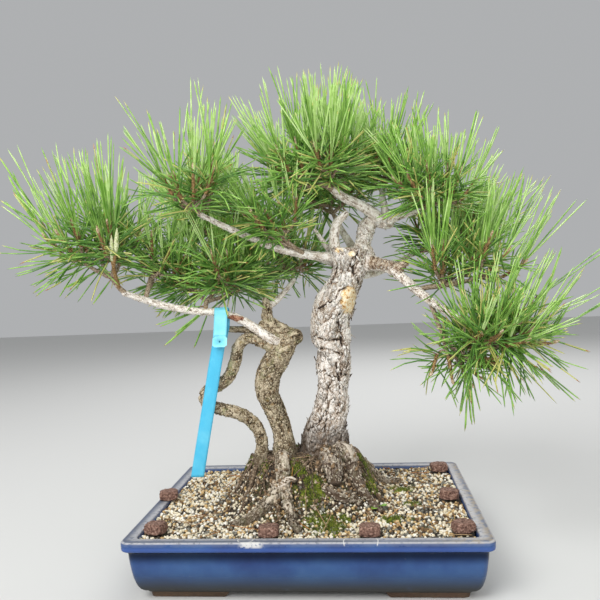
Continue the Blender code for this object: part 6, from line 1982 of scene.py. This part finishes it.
def bend_over(offset, steps=10):
    """The half turn over the bough's top, from front to back."""
    x, y, z = LABEL_OVER
    radius = LABEL_BEND + offset
    turns = np.linspace(math.pi, 0, steps)
    return [(x, y + radius * math.cos(turn), z + radius * math.sin(turn)) for turn in turns]


def strip(route, curl, lift=0.0):
    """A flat band along a route: its width lies along X, and curl bows it across."""
    flat = smooth_route([(*place, 0.0) for place in route], 0.003)[:, :3]
    along = np.gradient(flat, axis=0)
    normal = np.column_stack([np.zeros(len(flat)), -along[:, 2], along[:, 1]])
    normal /= np.linalg.norm(normal, axis=1)[:, None]
    across = np.linspace(-1, 1, STRIP_ACROSS + 1)
    ring = [(value, 1) for value in across] + [(value, -1) for value in across[::-1]]
    points = []
    for place, out in zip(flat, normal):
        for value, side in ring:
            bow = curl * (1 - value * value) + lift + side * STRIP_THICK / 2
            points.append(place + (value * LABEL_WIDTH / 2, 0.0, 0.0) + out * bow)
    return np.array(points), closed_tube(len(flat), len(ring))


def plate_with_hole(centre, half_x, half_z, lean, hole):
    """A small rectangle, leaning out at its foot, with a round hole through it."""
    steps = 16
    turns = 2 * math.pi * (np.arange(steps) + 0.5) / steps
    square = 1 / np.maximum(np.abs(np.cos(turns)), np.abs(np.sin(turns)))
    rings = []
    for reach_x, reach_z in ((square * half_x, square * half_z), (hole, hole)):
        x = reach_x * np.cos(turns)
        z = reach_z * np.sin(turns)
        rings.append(np.column_stack([x, -lean * (half_z - z), z]))
    front, back = np.array((0, -STRIP_THICK / 2, 0)), np.array((0, STRIP_THICK / 2, 0))
    loops = [rings[0] + front, rings[1] + front, rings[1] + back, rings[0] + back, rings[0] + front]
    return np.concatenate(loops) + np.array(centre), bands(5, steps)


def plastic(name, colour, faded):
    """Soft plastic that has faded in patches, with grime in its fine creases."""
    made, tree, shader = new_material(name, Roughness=0.42, IOR=1.46)
    place = add_node(tree, "place")
    skin = coat(linear(colour), speckle(place, 22.0, 0.40, 0.75), 0.5, faded)
    skin = coat(skin, speckle(place, 1.5, 0.62, 0.75), 0.35, "#5F7F93")
    creases = add_node(tree, "bump", add_node(tree, "noise", place, per_mm(5.0), 3.0), 0.0003, 0.5)
    link(shader, Base_Color=skin, Normal=creases)
    return made


label_blue = plastic("label_plastic", "#46B2D6", "#74CDE4")
label_pale = plastic("label_plastic_pale", "#76D0E6", "#9EDFEE")
label = Batch()
label.add(*strip(LABEL_HANG + bend_over(0.0) + LABEL_BACK, 0.0006), 0)
label.add(*strip(bend_over(0.0012)[:5][::-1] + LABEL_TAIL[:3], 0.0004), 1)
label.add(*plate_with_hole((-0.0925, -0.0432, 0.2525), 0.0082, 0.0058, 0.42, 0.0011), 1)
new_piece("plant_label_strip", label, [label_blue, label_pale], ["plant_label"])

# %% Small weed
WEED_PLACE = (0.075, -0.0425)
WEED_OUTLINE = ((0.0, 0.04), (0.35, 0.06), (0.55, 0.26), (0.78, 0.34), (0.94, 0.20), (1.0, 0.03))
# Bearing, length and slope of each leaf
WEED_LEAVES = [(0.2, 0.011, 0.5), (2.2, 0.010, 0.7), (4.1, 0.012, 0.4), (5.2, 0.008, 0.9)]
weed_leaf = mottled(
    "weed_leaf", [(0.35, "#4E7A22"), (0.50, "#79A934"), (0.65, "#A8CB58")], 2.5, 0.2,
    Roughness=0.5)
weed = Batch()
ground = float(soil_height(*WEED_PLACE))
for turn, length, rise_angle in WEED_LEAVES:
    level = np.array((math.cos(turn), math.sin(turn), 0.0))
    heading = math.cos(rise_angle) * level + np.array((0.0, 0.0, math.sin(rise_angle)))
    sideways = np.array((-math.sin(turn), math.cos(turn), 0.0))
    foot = np.array((*WEED_PLACE, ground + 0.001))
    outline = []
    for along, wide in WEED_OUTLINE:
        middle = foot + heading * length * along + np.array((0, 0, -0.003 * along ** 2))
        for side in (-1, 0, 1):
            curled = np.array((0, 0, 0.0005 * abs(side)))
            outline.append(middle + side * wide * length * sideways + curled)
    upper = np.array(outline)
    lower = upper - np.array((0, 0, 0.0003))
    faces = []
    for row in range(5):
        for column in range(2):
            a = 3 * row + column
            faces += [(a, a + 3, a + 4), (a, a + 4, a + 1)]
            faces += [(a + 18, a + 22, a + 21), (a + 18, a + 19, a + 22)]
        a = 3 * row
        faces += [(a, a + 18, a + 21), (a, a + 21, a + 3)]
        faces += [(a + 2, a + 5, a + 23), (a + 2, a + 23, a + 20)]
    faces += [(0, 1, 19), (0, 19, 18), (1, 2, 20), (1, 20, 19)]
    faces += [(15, 33, 34), (15, 34, 16), (16, 34, 35), (16, 35, 17)]
    weed.add(np.concatenate([upper, lower]), faces)
new_piece("small_weed", weed, [weed_leaf])
